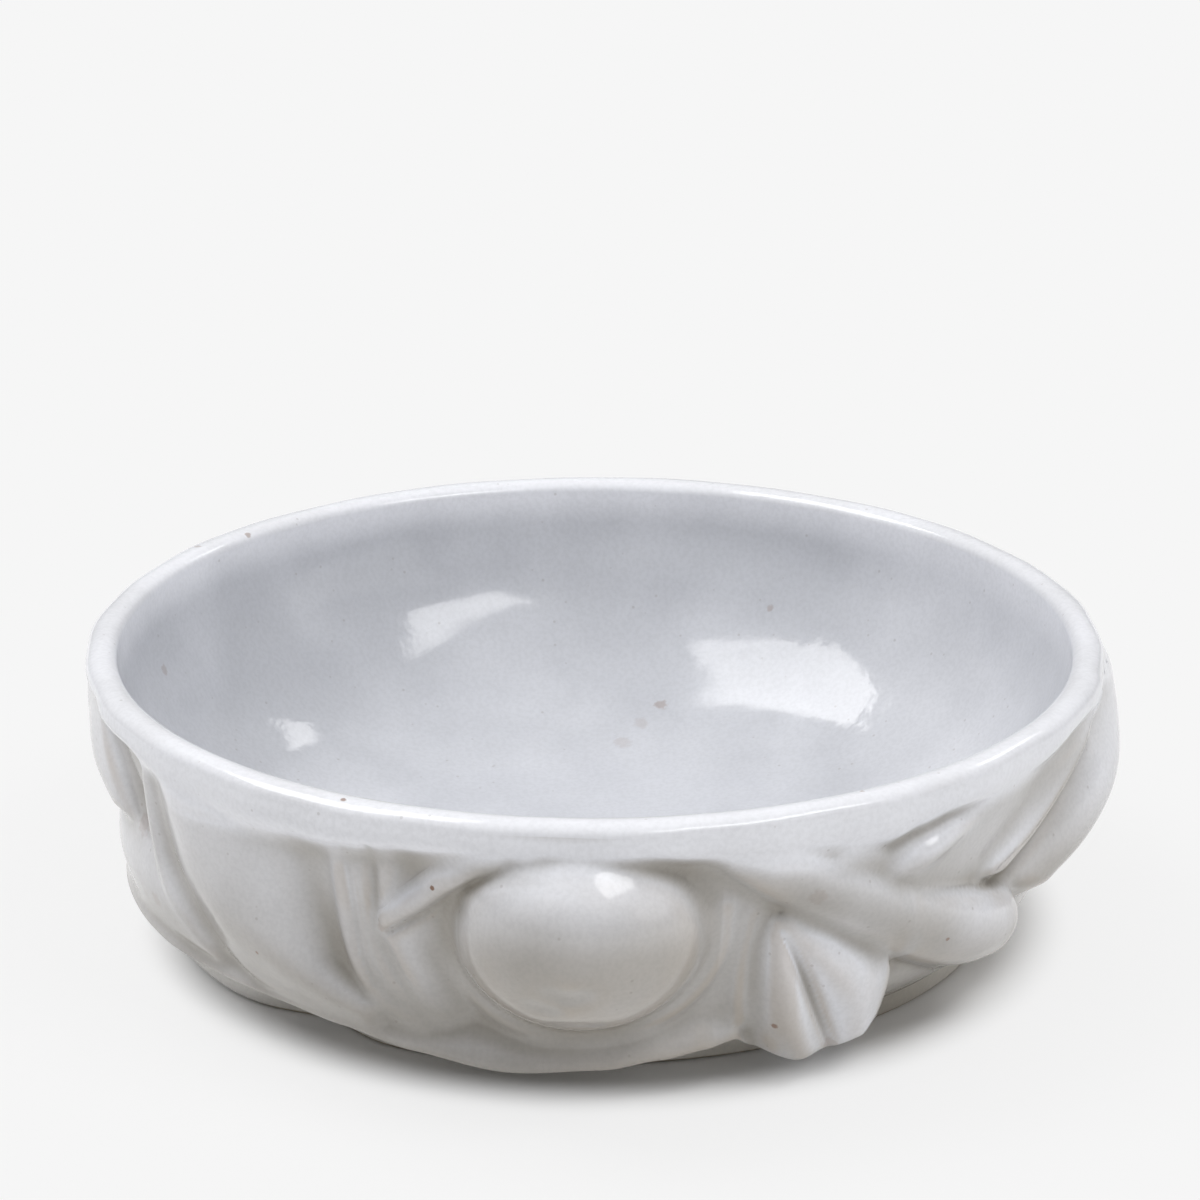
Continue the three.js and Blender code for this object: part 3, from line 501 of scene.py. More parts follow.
# The glaze
# Everything is dipped in one white glaze. It rounds every joint, fills the creases and leaves one
# unbroken skin, which is divided here along the joints into the pieces that lie under it.
TURN_COLUMNS = 1200
WALL_ROWS = 108
GLAZE_FILL = 2.2  # how sharply the skin turns a joint, higher being sharper
GLAZE_ROUNDS, FINE_ROUNDS = 14, 1  # how far it softens the hollows, and the thin lines
FAR = -40.0
COIL_GRIP, COIL_LAP = 1.6, 2  # how steeply the forms end on the coil, and how far up it they reach
MELT_WIDTH, MELT_ROUNDS = 2.6, 24  # the glaze is thickest where the forms run in under the coil
MELT_DROP = 1.5
CRISP = [(-1, 9), (36, 6)]  # angles, and degrees round them, where it is thinner there
CRISP_SHARE = 0.75
names = ["wall_face", *FORMS]


def columns_near(degrees, first, last):
    """Columns between two angles, with their angles unwound so that they run on without a jump."""
    middle = (first + last) / 2
    off = (degrees - middle + 180) % 360 - 180
    columns = np.flatnonzero(np.abs(off[0]) <= (last - first) / 2)
    return columns, middle + off[:, columns]


def pressed(presses, degrees, z):
    """For each press in a list, the columns that it reaches and its rise there."""
    for press, first, last in presses:
        columns, turn = columns_near(degrees, first, last)
        yield columns, press(turn * MM_PER_DEGREE, z[:, columns])


def soften(grid, rounds):
    """The grid with each value brought halfway to the mean of its four neighbours, round by round."""
    for _ in range(rounds):
        padded = np.vstack([grid[:1], grid, grid[-1:]])
        around = padded[:-2] + padded[2:] + np.roll(grid, 1, 1) + np.roll(grid, -1, 1)
        grid = grid / 2 + around / 8
    return grid


def relief(degrees, z):
    """Rise of the glazed skin at every wall point, and of each form alone: the logarithm of the
    sum of the exponentials of the forms' rises, less the hollows, softened by the glaze, less the
    thin lines. It is softened further, by bell curves of the distance, under the coil, apart from
    the crisp places there, and along the melts."""
    ground = wall_radius(z) - cone_radius(z)
    rises = np.full((len(names), *z.shape), FAR)
    rises[0] = ground
    for i, (shapes, first, last) in enumerate(FORMS.values(), 1):
        columns, turn = columns_near(degrees, first, last)
        rises[i][:, columns] = np.max([s(turn * MM_PER_DEGREE, z[:, columns]) for s in shapes], 0)
    rises[2:] -= COIL_GRIP * np.maximum(0, z - band_edge(degrees) - COIL_LAP)
    top = rises.max(0)
    skin = top + np.log(np.exp(GLAZE_FILL * (rises - top)).sum(0)) / GLAZE_FILL
    for presses, rounds in ((HOLLOWS, GLAZE_ROUNDS), (FINE, FINE_ROUNDS)):
        for columns, rise in pressed(presses, degrees, z):
            skin[:, columns] += rise
        skin = soften(skin, rounds)
    melt = bell(z, band_edge(degrees) - MELT_DROP, MELT_WIDTH)
    for at, spread_degrees in CRISP:
        melt *= 1 - CRISP_SHARE * bell(degrees, at, spread_degrees, 4)
    for columns, rise in pressed(MELTS, degrees, z):
        melt[:, columns] = np.maximum(melt[:, columns], -rise)
    return skin + melt * (soften(skin, MELT_ROUNDS) - skin), rises


def wall_points(row, column):
    """Angle and height of grid points, whose rows spread evenly from the skirt's edge up."""
    degrees = column * 360 / TURN_COLUMNS - 180
    edge = skirt_edge(degrees)
    return degrees, edge + (SHOULDER - edge) * row / WALL_ROWS


def neighbours(grid):
    """The grid's own values one row down and up and one column back and on."""
    return (np.roll(grid, 1, 0), np.roll(grid, -1, 0), np.roll(grid, 1, 1), np.roll(grid, -1, 1))


ISLAND_ROUNDS, BORDER_ROUNDS = 6, 5
row, column = np.meshgrid(np.arange(WALL_ROWS + 1.0), np.arange(TURN_COLUMNS * 1.0), indexing="ij")
_, rises = relief(*wall_points(row, column))
corners = rises[:, 1:] + rises[:, :-1]
owner = (corners + np.roll(corners, -1, 2)).argmax(0)

# Small islands go to whoever lies round them.
for _ in range(ISLAND_ROUNDS):
    votes = np.zeros((len(names), *owner.shape), np.int8)
    padded = np.pad(owner, ((1, 1), (0, 0)), mode="edge")
    for shift_row in (0, 1, 2):
        for shift_column in (-1, 0, 1):
            seen = np.roll(padded[shift_row:shift_row + WALL_ROWS], shift_column, 1)
            np.put_along_axis(votes, seen[None], np.take_along_axis(votes, seen[None], 0) + 1, 0)
    owner = votes.argmax(0)

# The borders between owners are drawn smooth, by moving each of their points between its two
# neighbours on the border.
above = np.vstack([owner, owner[-1:]])
below = np.vstack([owner[:1], owner])
level = above != below  # the border runs on from this point to the next column
upright = np.vstack([owner != np.roll(owner, 1, 1), np.zeros((1, TURN_COLUMNS), bool)])
links = [np.vstack([np.zeros((1, TURN_COLUMNS), bool), upright[:-1]]), upright, np.roll(level, 1, 1), level]
steps = [(-1, 0), (1, 0), (0, -1), (0, 1)]
movable = (sum(link.astype(int) for link in links) == 2)
movable[[0, -1]] = False
shift = np.zeros((2, *row.shape))
for _ in range(BORDER_ROUNDS):
    total = sum(link * (np.array(step)[:, None, None] + np.stack([neighbours(s)[k] for s in shift]))
                for k, (link, step) in enumerate(zip(links, steps)))
    shift = np.where(movable, (shift + total / 2) / 2, shift)
degrees, z = wall_points(row + shift[0], column + shift[1])
skin, _ = relief(degrees, z)

# The whole section, from the foot's joint out under the skirt, up the wall, over the lip, down
# the inside and in to the middle of the floor, as rows of points round the bowl.
TUCK_ROWS, LIP_ROWS, BASIN_ROWS = 12, 14, 60
FIRST_WALL, FIRST_LIP = TUCK_ROWS, TUCK_ROWS + WALL_ROWS + 1
FIRST_BASIN = FIRST_LIP + LIP_ROWS
FLAP_BULGE = (2.2, 1.3)  # how far the underside of a pulled-out edge curls in and down
TUCK_FOOT = (87.5, 6.3)  # radius and height at which the underside meets the foot
NORMAL_ROUNDS = 3
CURL_REACH = 8  # how far out from the base the edge stands where it curls in full
TUCK_CROWD, BASIN_CROWD = 0.6, (2.2, 1.1)  # crowd the rows at the skirt's edge, the floor and the lip
# Swellings that the thrower's fingers left on the inside: how high each is, how many go round, how
# steeply they wind down, and where they start.
WAVERS = [(0.7, 5, 14, 0), (0.4, 9, -21, 1), (0.24, 3, 34, 2)]


def spread(values, like):
    """Values down the rows, repeated across the columns of another row of points."""
    return np.asarray(values, float)[:, None] + 0 * like


edge_turn, lip_turn = degrees[0], degrees[-1]
wall_out = cone_radius(z) + skin
out = spread(np.linspace(0, 1, TUCK_ROWS + 1)[:-1] ** TUCK_CROWD, edge_turn)
curl = np.clip((wall_out[0] - BASE_RADIUS) / CURL_REACH, 0, 1)
under_radius, under_height = (
    out**2 * edge + 2 * out * (1 - out) * (edge - bulge * curl) + (1 - out) ** 2 * end
    for edge, bulge, end in zip((wall_out[0], z[0]), FLAP_BULGE, TUCK_FOOT)
)
over = spread(np.linspace(0, math.pi, LIP_ROWS + 1)[1:], lip_turn)
lip_middle = (wall_out[-1] + inner_radius(SHOULDER)) / 2
lip_half = (wall_out[-1] - inner_radius(SHOULDER)) / 2
down = spread(np.linspace(0, 1, BASIN_ROWS + 1)[1:], lip_turn)
down = down * BASIN_ROWS / (BASIN_ROWS + 1)
basin_height = SHOULDER - (SHOULDER - FLOOR) * (1 - (1 - down) ** BASIN_CROWD[0]) ** BASIN_CROWD[1]
turn = np.radians(lip_turn)
waver = sum(high * np.sin(often * turn + wind * down + start) for high, often, wind, start in WAVERS)
basin_radius = inner_radius(basin_height) + waver * 4 * down * (1 - down) ** 2
section_turn = np.vstack([edge_turn + 0 * out, degrees, lip_turn + 0 * over, lip_turn + 0 * down])
section = hand_worked(
    section_turn,
    np.vstack([under_radius, wall_out, lip_middle + lip_half * np.cos(over), basin_radius]),
    np.vstack([under_height, z, SHOULDER + LIP_HALF * np.sin(over), basin_height]),
)
up_step = np.gradient(section, axis=0)
round_step = np.roll(section, -1, 1) - np.roll(section, 1, 1)
normals = np.cross(round_step, up_step)
normals /= np.linalg.norm(normals, axis=-1, keepdims=True)
normals = np.stack([soften(part, NORMAL_ROUNDS) for part in np.moveaxis(normals, -1, 0)], -1)
normals /= np.linalg.norm(normals, axis=-1, keepdims=True)

# How far the skin lies under the mean of the skin round it, which marks the creases, where the glaze pools
# and painted shade is laid.
POOL_ROUNDS = 180
blurred = soften(skin, POOL_ROUNDS)
pool = np.zeros(section.shape[:2])
pool[FIRST_WALL:FIRST_LIP] = blurred - skin
pool[:FIRST_WALL] = (blurred - skin)[0]


def eased(share):
    """A share from 0 to 1, eased at both ends: three squares less two cubes of it."""
    share = np.clip(share, 0, 1)
    return share**2 * (3 - 2 * share)


# The glaze is white on the coil, whiter higher up and darker and warmer towards the foot. What faces up and
# the crests are painted lighter, as painted light, and the creases darker, as painted shade over pooled
# glaze.
# On sharp edges it breaks, and the clay shows through it.
COAT_LEAST, COAT_HIGH, COAT_ON_COIL, COAT_FACING_UP, COAT_CREASE = 0.16, 0.46, 0.75, 0.75, 0.4
COAT_FOOT, COAT_CLIMB = 8, 44  # it grows whiter from this height on, over this much
COAT_TURN = 6  # how sharply the thinning of the coat ends where there is none left
COIL_BLEND, FACING_ROUNDS = 6, 10
WEAR_ROUNDS, WEAR_DEPTH = 8, 0.1
# Patches, each by how much, at what angle and how far round: painted light that makes the inside's right
# wall lighter, and a worn line just inside the lip at the front.
INSIDE_WHITE, WORN_LIP = (0.38, 108, 34), (0.9, -8, 24)
WORN_ROWS = slice(FIRST_LIP + 8, FIRST_LIP + 11)
white = np.ones(section.shape[:2])
on_coil = eased((z - band_edge(degrees) + COIL_BLEND / 2) / COIL_BLEND)
# Surfaces that face up are painted lighter, as painted light, and those that face down darker, as painted
# shade.
facing_up = soften(normals[FIRST_WALL:FIRST_LIP, :, 2], FACING_ROUNDS)
# Crests are painted lighter and creases darker, as painted light and painted shade, the creases partly
# pooled glaze.
coat = (COAT_LEAST + COAT_HIGH * eased((z - COAT_FOOT) / COAT_CLIMB) + COAT_ON_COIL * on_coil
        + COAT_FACING_UP * facing_up - COAT_CREASE * np.clip(blurred - skin, -0.4, 2))
# Patches of painted light and painted shade, partly thinner glaze, are added to the whiteness.
for columns, rise in pressed(THINNED, degrees, z):
    coat[:, columns] += rise
white[FIRST_WALL:FIRST_LIP] = np.logaddexp(0, COAT_TURN * coat) / COAT_TURN
white[:FIRST_WALL] = white[FIRST_WALL]
depth = (SHOULDER - basin_height) / (SHOULDER - FLOOR)
# Painted light makes the inside's right wall lighter.
white_side = INSIDE_WHITE[0] * bell(lip_turn, *INSIDE_WHITE[1:], 4)
white[FIRST_BASIN:] = (eased(1 - depth * 6) + 0.04 * eased((depth - 0.15) / 0.4)
                       + white_side * eased(depth / 0.15) * eased((1 - depth) / 0.35))
worn = np.zeros(section.shape[:2])
worn[WORN_ROWS] = WORN_LIP[0] * bell(lip_turn, *WORN_LIP[1:], 4)
worn[FIRST_WALL:FIRST_LIP] = np.clip((skin - soften(skin, WEAR_ROUNDS)) / WEAR_DEPTH, 0, 1) * (1 - on_coil)


def grid_faces(rows, columns=TURN_COLUMNS, first=0):
    """Quads of a grid of points that are numbered row by row and run right round the bowl."""
    i, j = np.meshgrid(np.arange(rows - 1), np.arange(columns), indexing="ij")
    low = first + i * columns
    on = (j + 1) % columns
    return np.stack([low + j, low + on, low + columns + on, low + columns + j], -1).reshape(-1, 4)


def clay(name, points, faces, skin_normals=None, skin_faces=0, **glaze):
    """A closed smooth mesh of quads and triangles, each a row of point numbers. Its first faces,
    as many as skin_faces says, take the skin's own normals, so that the glaze runs on over the
    joints between pieces. The rest are values of the glaze at each point: how far it pools, with
    painted shade in the creases; how white it is, with painted light; and how worn."""
    mesh = bpy.data.meshes.new(name)
    mesh.from_pydata(points, [], [face for group in faces for face in group.tolist()])
    mesh.shade_smooth()
    for key in ("pool", "white", "worn"):
        values = glaze.get(key, np.zeros(len(points)))
        mesh.attributes.new(key, "FLOAT", "POINT").data.foreach_set("value", values.astype(np.float32))
    if skin_faces:
        every = np.zeros(len(mesh.loops), np.int32)
        mesh.loops.foreach_get("vertex_index", every)
        corner = every[:4 * skin_faces]
        given = np.zeros((len(every), 3))
        given[:len(corner)] = skin_normals[corner]
        mesh.normals_split_custom_set(given.tolist())
    piece = bpy.data.objects.new(name, mesh)
    bpy.context.scene.collection.objects.link(piece)
    return piece


# Each skirt piece and the coil: its part of the skin, the same part set back into the wall, and
# a wall of quads round its border between the two.
JOINT = 2.4  # how far the pieces reach into the wall's face
LIP_CORE = 0.2  # the size of the coil's hidden side at the lip, as a share of the lip
wall_back = np.minimum(wall_radius(z) - JOINT, wall_out - 1)
under_back_radius = (1 - out) * (TUCK_FOOT[0] - 1) + out * wall_back[0]
under_back_height = (1 - out) * (TUCK_FOOT[1] + JOINT) + out * z[0]
back = hand_worked(
    section_turn[:FIRST_BASIN],
    np.vstack([under_back_radius, wall_back, lip_middle + LIP_CORE * lip_half * np.cos(over)]),
    np.vstack([under_back_height, z, SHOULDER + LIP_CORE * LIP_HALF * np.sin(over)]),
).reshape(-1, 3)
coil = names.index("rim_band")
section_owner = np.vstack([np.repeat(owner[:1], TUCK_ROWS, 0), owner,
                           np.full((LIP_ROWS, TURN_COLUMNS), coil)]).ravel()
cells = grid_faces(FIRST_BASIN)
flat_skin, flat_normals = section.reshape(-1, 3), normals.reshape(-1, 3)
glaze_values = {"pool": pool, "white": white, "worn": worn}
pieces = {}
for number, name in enumerate(names):
    front = cells[section_owner == number]
    edges = np.concatenate([np.stack([front[:, k], front[:, (k + 1) % 4]], 1) for k in range(4)])
    size = len(flat_skin)
    border = edges[~np.isin(edges[:, 0] * size + edges[:, 1], edges[:, 1] * size + edges[:, 0])]
    used, index = np.unique(np.concatenate([front.ravel(), border.ravel()]), return_inverse=True)
    front, border = index[:front.size].reshape(-1, 4), index[front.size:].reshape(-1, 2)
    sides = np.stack([border[:, 1], border[:, 0], border[:, 0] + len(used), border[:, 1] + len(used)], 1)
    pieces[name] = clay(
        name,
        np.vstack([flat_skin[used], back[used]]),
        [front, front[:, ::-1] + len(used), sides],
        np.vstack([flat_normals[used], 0 * flat_normals[used]]),
        len(front),
        **{key: np.tile(values.ravel()[used], 2) for key, values in glaze_values.items()},
    )

# The thrown bowl shows inside, and its outside is plain under the modelling.
HIDDEN_GAP = 3  # how far that plain side lies behind the wall's face
hidden_height = np.array([UNDERSIDE, 8, 12, 20, 30, 42, 55, SHOULDER - 1])
hidden_radius = wall_radius(hidden_height) - HIDDEN_GAP
hidden_radius[:2] = TUCK_FOOT[0] - HIDDEN_GAP
hidden = hand_worked(lip_turn, spread(hidden_radius, lip_turn), spread(hidden_height, lip_turn))
inside = section[FIRST_BASIN - 1:]
centre = hand_worked(np.zeros(2), np.zeros(2), np.array([UNDERSIDE, FLOOR]))
bowl_points = np.vstack([hidden.reshape(-1, 3), inside.reshape(-1, 3), centre])
bowl_white = np.concatenate([np.zeros(hidden.shape[:2]).ravel(), white[FIRST_BASIN - 1:].ravel(), [0, 0]])
bowl_normals = np.vstack([0 * hidden.reshape(-1, 3), normals[FIRST_BASIN - 1:].reshape(-1, 3), 0 * centre])
bowl_rows = len(hidden) + len(inside)
ring = np.arange(TURN_COLUMNS)
ring_on = (ring + 1) % TURN_COLUMNS
under_pole, floor_pole = len(bowl_points) - 2, len(bowl_points) - 1
last_ring = (bowl_rows - 1) * TURN_COLUMNS
inside_faces = grid_faces(len(inside), first=len(hidden) * TURN_COLUMNS)
pieces["thrown_bowl"] = clay(
    "thrown_bowl", bowl_points,
    [inside_faces, grid_faces(len(hidden) + 1),
     np.stack([ring_on, ring, 0 * ring + under_pole], 1),
     np.stack([last_ring + ring, last_ring + ring_on, 0 * ring + floor_pole], 1)],
    bowl_normals, len(inside_faces), white=bowl_white,
)
for name, piece in pieces.items():
    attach(piece, "root")
    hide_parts("thrown_bowl" if name == "wall_face" else name)

# The foot ring
# A low ring of the same clay, turned while leather-hard and knocked out of round with the bowl.
# Its sides are glazed and its lower face, which stood on the kiln shelf, is wiped bare.
FOOT_RADIUS, FOOT_WIDTH, FOOT_EASE = 90, 11, 1.3
FOOT_RECESS, FOOT_RECESS_AT, FOOT_RECESS_SPREAD = 5.5, -42, 8
FOOT_LOBE, FOOT_LOBE_AT, FOOT_LOBE_SPREAD = (4, 4.5), -66, 15  # how far it bulges out, and up
FOOT_POOL, FOOT_WHITE = (2.6, 42, 26), (0.25, -56, 30)  # painted shadow on the right and painted light on the left: how much, what angle, how far round
foot_inner = FOOT_RADIUS - FOOT_WIDTH
quarter = np.radians(np.linspace(0, 90, 7))
ease_in, ease_up = FOOT_EASE * (1 - np.sin(quarter)), FOOT_EASE * (1 - np.cos(quarter))
foot_profile = np.vstack([
    np.stack([foot_inner + ease_in, ease_up], 1)[::-1],
    np.stack([FOOT_RADIUS - ease_in, ease_up], 1),
    [(FOOT_RADIUS + 0.5, 2.6), (FOOT_RADIUS + 0.8, 4), (FOOT_RADIUS + 1, 5.6), (FOOT_RADIUS + 0.9, 7.4)],
    [(foot_inner, 7.4), (foot_inner, 4)],
])
foot_turn = np.linspace(-180, 180, TURN_COLUMNS // 2 + 1)[:-1]
recess = FOOT_RECESS * bell(foot_turn, FOOT_RECESS_AT, FOOT_RECESS_SPREAD)
lobe = bell(foot_turn, FOOT_LOBE_AT, FOOT_LOBE_SPREAD, 4)
outer_share = np.clip((foot_profile[:, :1] - foot_inner) / FOOT_WIDTH, 0, 1)
risen = foot_profile[:, 1:] / foot_profile[:, 1].max()
foot_out = (FOOT_LOBE[0] * lobe * np.sin(math.pi * risen) - recess) * outer_share
foot_up = FOOT_LOBE[1] * lobe * risen**2 * outer_share
foot = hand_worked(foot_turn, foot_profile[:, :1] + foot_out, foot_profile[:, 1:] + foot_up)
foot_columns = len(foot_turn)
foot_rows = len(foot_profile)
foot_faces = grid_faces(foot_rows, foot_columns)
closing = np.arange(foot_columns)
closing_on = (closing + 1) % foot_columns
top = (foot_rows - 1) * foot_columns
# Its glaze carries a painted shadow on the right and painted light on the left.
foot_ring = clay("foot_ring", foot.reshape(-1, 3),
                 [foot_faces, np.stack([top + closing, top + closing_on, closing_on, closing], 1)],
                 pool=np.tile(FOOT_POOL[0] * bell(foot_turn, *FOOT_POOL[1:]), foot_rows),
                 white=np.tile(FOOT_WHITE[0] * bell(foot_turn, *FOOT_WHITE[1:]), foot_rows))
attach(foot_ring, "root")
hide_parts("foot_ring")


# The glaze's finish
# A cool white stoneware glaze over buff clay. It is whiter where it lies thick and where painted light
# lies, warmer low down, darker in the creases with pooled glaze and painted shade, with a fine grey speckle
# and a few iron spots that the clay bleeds through it.
def node(tree, kind, inputs=None, **settings):
    """A new node with its settings and its inputs, each a value or another node's output."""
    made = tree.nodes.new(kind)
    for key, value in settings.items():
        setattr(made, key, value)
    for key, value in (inputs or {}).items():
        if isinstance(value, bpy.types.NodeSocket):
            tree.links.new(value, made.inputs[key])
        else:
            made.inputs[key].default_value = value
    return made


def fade(tree, value, low, high, to_low=0, to_high=1):
    """The value mapped smoothly from one range to another and held at its ends."""
    return node(tree, "ShaderNodeMapRange", {"Value": value, "From Min": low, "From Max": high,
                                             "To Min": to_low, "To Max": to_high},
                interpolation_type="SMOOTHSTEP").outputs["Result"]


def times(tree, first, second, operation="MULTIPLY"):
    """Two values multiplied, or joined by another operation."""
    return node(tree, "ShaderNodeMath", {0: first, 1: second}, operation=operation).outputs[0]


def gap(tree, place, middle=(0, 0, 0)):
    """The distance from a middle."""
    return node(tree, "ShaderNodeVectorMath", {0: place, 1: middle}, operation="DISTANCE").outputs["Value"]


def tint(tree, factor, first, second):
    """Two colours mixed by a factor."""
    return node(tree, "ShaderNodeMix", {"Factor": factor, 6: first, 7: second}, data_type="RGBA").outputs[2]


def lighten(tree, color, value):
    """A colour made lighter, or with a factor below 1 darker."""
    return node(tree, "ShaderNodeHueSaturation", {"Color": color, "Value": value}).outputs[0]


def noise(tree, place, scale, detail=2):
    """A smooth noise, finer at higher scales."""
    settings = {"Vector": place, "Scale": scale, "Detail": detail}
    return node(tree, "ShaderNodeTexNoise", settings).outputs["Fac"]


def dots(tree, place, scale, size, chance):
    """Round dots, one in each cell of a scattering whose drawn number is past a limit. The size and
    the limit are each a pair, from where there is nothing to where the dot is full."""
    cells = node(tree, "ShaderNodeTexVoronoi", {"Vector": place, "Scale": scale}).outputs
    drawn = node(tree, "ShaderNodeSeparateColor", {0: cells["Color"]}).outputs[0]
    return times(tree, fade(tree, cells["Distance"], *size), fade(tree, drawn, *chance))


def linear(red, green, blue):
    """A colour as it is seen on a screen, from 0 to 255, in the linear light of a shader."""
    seen = np.array([red, green, blue]) / 255
    return (*np.where(seen <= 0.04045, seen / 12.92, ((seen + 0.055) / 1.055) ** 2.4).tolist(), 1)


SPECK_COLOR = linear(104, 84, 64)
RUST_COLOR = linear(132, 88, 54)
BREAK_COLOR = linear(184, 168, 146)
BARE_CLAY = linear(170, 158, 140)
CLOUD_SCALE, GRAIN_SCALE, PEEL_SCALE, RAGGED_SCALE = 24, 900, 190, 700
FLECK_SCALE, SPOT_SCALE = 330, 60
NOISE_SPAN = (0.3, 0.7)  # nearly all of a noise's values
# Iron specks and faint stains: where each lies and its radius, in millimetres, and its strength.
STAINS = [(-36.4, -115.2, 54.2, 0.8, 0.9), (-55.4, -108.5, 71.8, 0.9, 0.7), (55.3, -104.1, 71.5, 0.8, 0.9),
          (-90.5, 72.5, 71.3, 1, 0.5), (-102.3, 61.2, 71.9, 1.1, 0.35), (-107.8, 24.8, 52.1, 1.6, 0.25),
          (15.5, 77.9, 22.5, 2, 0.34), (10.5, 72, 19.5, 2.4, 0.14), (5.5, 65.2, 17, 2.6, 0.14),
          (44.7, 93.1, 43.9, 1.1, 0.3), (-105.4, -46.7, 41, 3.4, 0.2), (-102.4, -54.7, 25.1, 2.4, 0.2),
          (-76.4, -90.9, 28.2, 0.7, 0.6), (37.2, -106.1, 17.6, 0.9, 0.7), (49.8, -98.3, 9.4, 2.4, 0.22),
          (76, -91.3, 31.5, 0.7, 0.6), (46.1, -112.9, 51, 2.6, 0.14), (-47.9, -105.9, 40.6, 2.2, 0.14)]
glaze_skin = bpy.data.node_groups.new("glaze_skin", "ShaderNodeTree")
for way, kind, sockets in [
    ("INPUT", "NodeSocketColor", ("Thick", "Thin", "Pooled")),
    ("INPUT", "NodeSocketFloat", ("Pool", "White", "Worn")),
    ("OUTPUT", "NodeSocketColor", ("Color",)),
    ("OUTPUT", "NodeSocketFloat", ("Roughness", "Height")),
]:
    for socket in sockets:
        glaze_skin.interface.new_socket(socket, in_out=way, socket_type=kind)
t = glaze_skin
given = node(t, "NodeGroupInput").outputs
where = node(t, "ShaderNodeTexCoord").outputs["Object"]
cloud = noise(t, where, CLOUD_SCALE, 3)
grain = noise(t, where, GRAIN_SCALE)
peel = noise(t, where, PEEL_SCALE)
ragged = noise(t, where, RAGGED_SCALE)
fleck = dots(t, where, FLECK_SCALE, (0.17, 0.07), (0.8, 0.84))
spot = dots(t, where, SPOT_SCALE, (0.034, 0.018), (0.86, 0.87))
# The whiteness carries painted light and painted shade as well as the glaze's own thickness.
whiteness = node(t, "ShaderNodeMath", {0: given["White"], 1: fade(t, cloud, *NOISE_SPAN, -0.1, 0.12)},
                 operation="ADD", use_clamp=True).outputs[0]
color = tint(t, whiteness, given["Thin"], given["Thick"])
# The pooled colour darkens the creases, as pooled glaze with painted shade, and the foot's right side, as a
# painted shadow.
color = tint(t, fade(t, given["Pool"], 0.7, 2.6, 0, 0.7), color, given["Pooled"])
color = lighten(t, color, fade(t, cloud, *NOISE_SPAN, 0.965, 1.02))
color = lighten(t, color, fade(t, grain, 0.3, 0.66, 0.955, 1.012))
broken = times(t, given["Worn"], fade(t, cloud, 0.4, 0.62, 0.05, 0.4))
color = tint(t, broken, color, BREAK_COLOR)
color = tint(t, times(t, fleck, 0.2), color, SPECK_COLOR)
color = tint(t, times(t, spot, 0.75), color, SPECK_COLOR)
for x, y, up, radius, strength in STAINS:
    away = gap(t, where, (x / 1000, y / 1000, up / 1000))
    edge = times(t, away, fade(t, ragged, *NOISE_SPAN, 0.75, 1.25))
    color = tint(t, fade(t, edge, radius / 1000, radius / 2000, 0, strength), color, RUST_COLOR)
node(t, "NodeGroupOutput", {
    "Color": color,
    "Roughness": fade(t, cloud, *NOISE_SPAN, 0.08, 0.15),
    "Height": times(t, times(t, peel, 0.8), times(t, grain, 0.1), "ADD"),
})


def glazed(name, thick, thin, pooled, bare_below=0.0):
    """A glazed finish from its colours where it is thick, thin, and pooled with painted shade. Below a
    height it is bare clay."""
    material = bpy.data.materials.new(name)
    material.use_nodes = True
    tree = material.node_tree
    shader = tree.nodes["Principled BSDF"]
    finish = {"Thick": thick, "Thin": thin, "Pooled": pooled}
    for key in ("Pool", "White", "Worn"):
        finish[key] = node(tree, "ShaderNodeAttribute", attribute_name=key.lower()).outputs["Fac"]
    coat = node(tree, "ShaderNodeGroup", finish, node_tree=glaze_skin).outputs
    color, rough = coat["Color"], coat["Roughness"]
    if bare_below:
        place = node(tree, "ShaderNodeTexCoord").outputs["Object"]
        up = node(tree, "ShaderNodeSeparateXYZ", {0: place}).outputs["Z"]
        bare = fade(tree, up, bare_below * 1.4, bare_below * 0.7)
        color = tint(tree, bare, color, BARE_CLAY)
        rough = times(tree, times(tree, bare, 0.6), rough, "ADD")
    tree.links.new(color, shader.inputs["Base Color"])
    tree.links.new(rough, shader.inputs["Roughness"])
    bump = {"Strength": 0.5, "Distance": 0.0002, "Height": coat["Height"]}
    tree.links.new(node(tree, "ShaderNodeBump", bump).outputs[0], shader.inputs["Normal"])
    return material


THICK = linear(244, 245, 250)
THIN = linear(180, 176, 170)
# The pooled colour is also painted shade in the creases and a painted shadow on the foot.
POOLED = linear(160, 153, 141)
skirt_glaze = glazed("skirt_glaze", THICK, THIN, POOLED)
inside_glaze = glazed("inside_glaze", THICK, linear(203, 205, 211), POOLED)
foot_glaze = glazed("foot_glaze", THICK, linear(229, 225, 216), POOLED, 0.0006)
for name, piece in pieces.items():
    piece.data.materials.append(inside_glaze if name == "thrown_bowl" else skirt_glaze)
foot_ring.data.materials.append(foot_glaze)

# The studio
# A white sweep lit by large soft boxes, with the bowl standing in its own small shadow.
PAPER = linear(246, 246, 246)
SWEEP = 8  # metres from its middle to each side
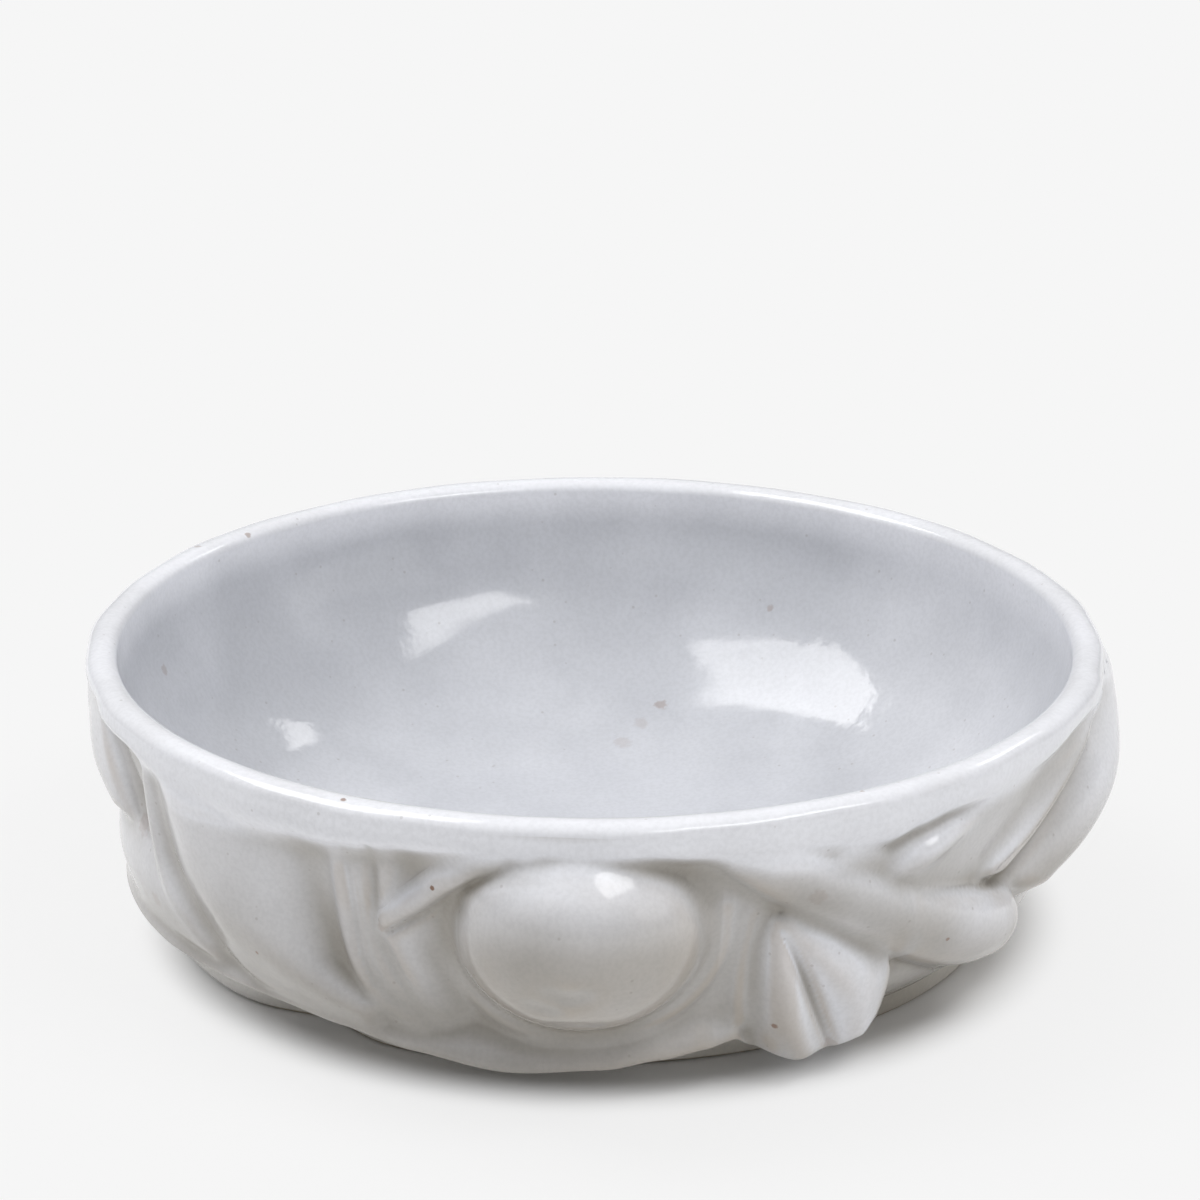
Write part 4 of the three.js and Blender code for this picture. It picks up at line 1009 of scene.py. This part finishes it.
# The shadow's near and wide parts: where each starts to fade and where it ends, in metres from its
# middle, and its share of the whole.
NEAR_SHADOW, WIDE_SHADOW = (0.096, 0.115, 0.86), (0.1, 0.26, 0.14)
WIDE_MIDDLE = (-0.03, 0, 0)
sweep_mesh = bpy.data.meshes.new("paper_sweep")
sweep_mesh.from_pydata([(-SWEEP, -SWEEP, 0), (SWEEP, -SWEEP, 0), (SWEEP, SWEEP, 0), (-SWEEP, SWEEP, 0)], [],
                       [(0, 1, 2, 3)])
sweep = bpy.data.objects.new("paper_sweep", sweep_mesh)
bpy.context.scene.collection.objects.link(sweep)
paper = bpy.data.materials.new("white_paper")
paper.use_nodes = True
tree = paper.node_tree
tree.nodes.clear()
ray = node(tree, "ShaderNodeLightPath").outputs
place = node(tree, "ShaderNodeTexCoord").outputs["Object"]
near, wide = (fade(tree, gap(tree, place, middle), start, end, 0, share)
              for middle, (start, end, share) in (((0, 0, 0), NEAR_SHADOW), (WIDE_MIDDLE, WIDE_SHADOW)))
seen = times(tree, ray["Is Camera Ray"], ray["Is Glossy Ray"], "MAXIMUM")
plain = times(tree, times(tree, near, wide, "ADD"), seen)
shadowed = node(tree, "ShaderNodeBsdfDiffuse", {"Color": linear(240, 240, 240)}).outputs[0]
glow = node(tree, "ShaderNodeEmission", {"Color": PAPER}).outputs[0]
mixed = node(tree, "ShaderNodeMixShader", {0: plain, 1: shadowed, 2: glow}).outputs[0]
node(tree, "ShaderNodeOutputMaterial", {"Surface": mixed})
sweep_mesh.materials.append(paper)

ROOM = (0.31, 0.68)  # the walls' light and the ceiling's
AIM = 0.04  # how far above the table the lamps face, in metres
world = bpy.data.worlds.new("white_room")
bpy.context.scene.world = world
world.use_nodes = True
tree = world.node_tree
tree.nodes.clear()
ray = node(tree, "ShaderNodeLightPath").outputs
seen = times(tree, ray["Is Camera Ray"], ray["Is Transmission Ray"], "MAXIMUM")
sky = node(tree, "ShaderNodeTexCoord").outputs["Generated"]
looking_up = node(tree, "ShaderNodeSeparateXYZ", {0: sky}).outputs["Z"]
room = node(tree, "ShaderNodeBackground", {"Strength": fade(tree, looking_up, 0.1, 0.95, *ROOM)}).outputs[0]
paper_room = node(tree, "ShaderNodeBackground", {"Color": PAPER}).outputs[0]
mixed = node(tree, "ShaderNodeMixShader", {0: seen, 1: room, 2: paper_room}).outputs[0]
node(tree, "ShaderNodeOutputWorld", {"Surface": mixed})


def soft_box(name, azimuth, elevation, width, height, strength, distance=1.6):
    """A rectangular lamp that faces the bowl, seen from it at an angle round from the front and
    an angle up. Its power is its area times its strength."""
    a, e = math.radians(azimuth), math.radians(elevation)
    lamp = bpy.data.lights.new(name, "AREA")
    lamp.shape = "RECTANGLE"
    lamp.size, lamp.size_y = width, height
    lamp.energy = strength * width * height * math.pi
    box = bpy.data.objects.new(name, lamp)
    box.location = (distance * math.cos(e) * math.sin(a), -distance * math.cos(e) * math.cos(a),
                    distance * math.sin(e) + AIM)
    box.rotation_euler = (math.pi / 2 - e, 0, a)
    bpy.context.scene.collection.objects.link(box)


soft_box("box_left", -110, 60, 0.96, 0.78, 5.5)
soft_box("box_front", 51, 56, 0.84, 0.46, 5.1)
soft_box("box_right", 70, 22, 1.2, 0.6, 0.7)
soft_box("box_behind_right", 140, 40, 0.3, 0.2, 4)

# The camera
# It looks down on the front of the bowl at a low angle, from about nine hundred millimetres off.
CAMERA_PLACE = (MIDDLE / 1000, -0.88256, 0.38754)
CAMERA_PITCH, CAMERA_YAW = math.radians(19.277), math.radians(0.132)
CAMERA_LENS, CAMERA_SENSOR = 117.68, 36
camera_data = bpy.data.cameras.new("camera")
camera_data.lens = CAMERA_LENS
camera_data.sensor_width = CAMERA_SENSOR
camera = bpy.data.objects.new("camera", camera_data)
camera.location = CAMERA_PLACE
camera.rotation_euler = (math.pi / 2 - CAMERA_PITCH, 0, -CAMERA_YAW)
bpy.context.scene.collection.objects.link(camera)
bpy.context.scene.camera = camera
bpy.context.scene.view_settings.view_transform = "Standard"

bpy.context.view_layer.update()
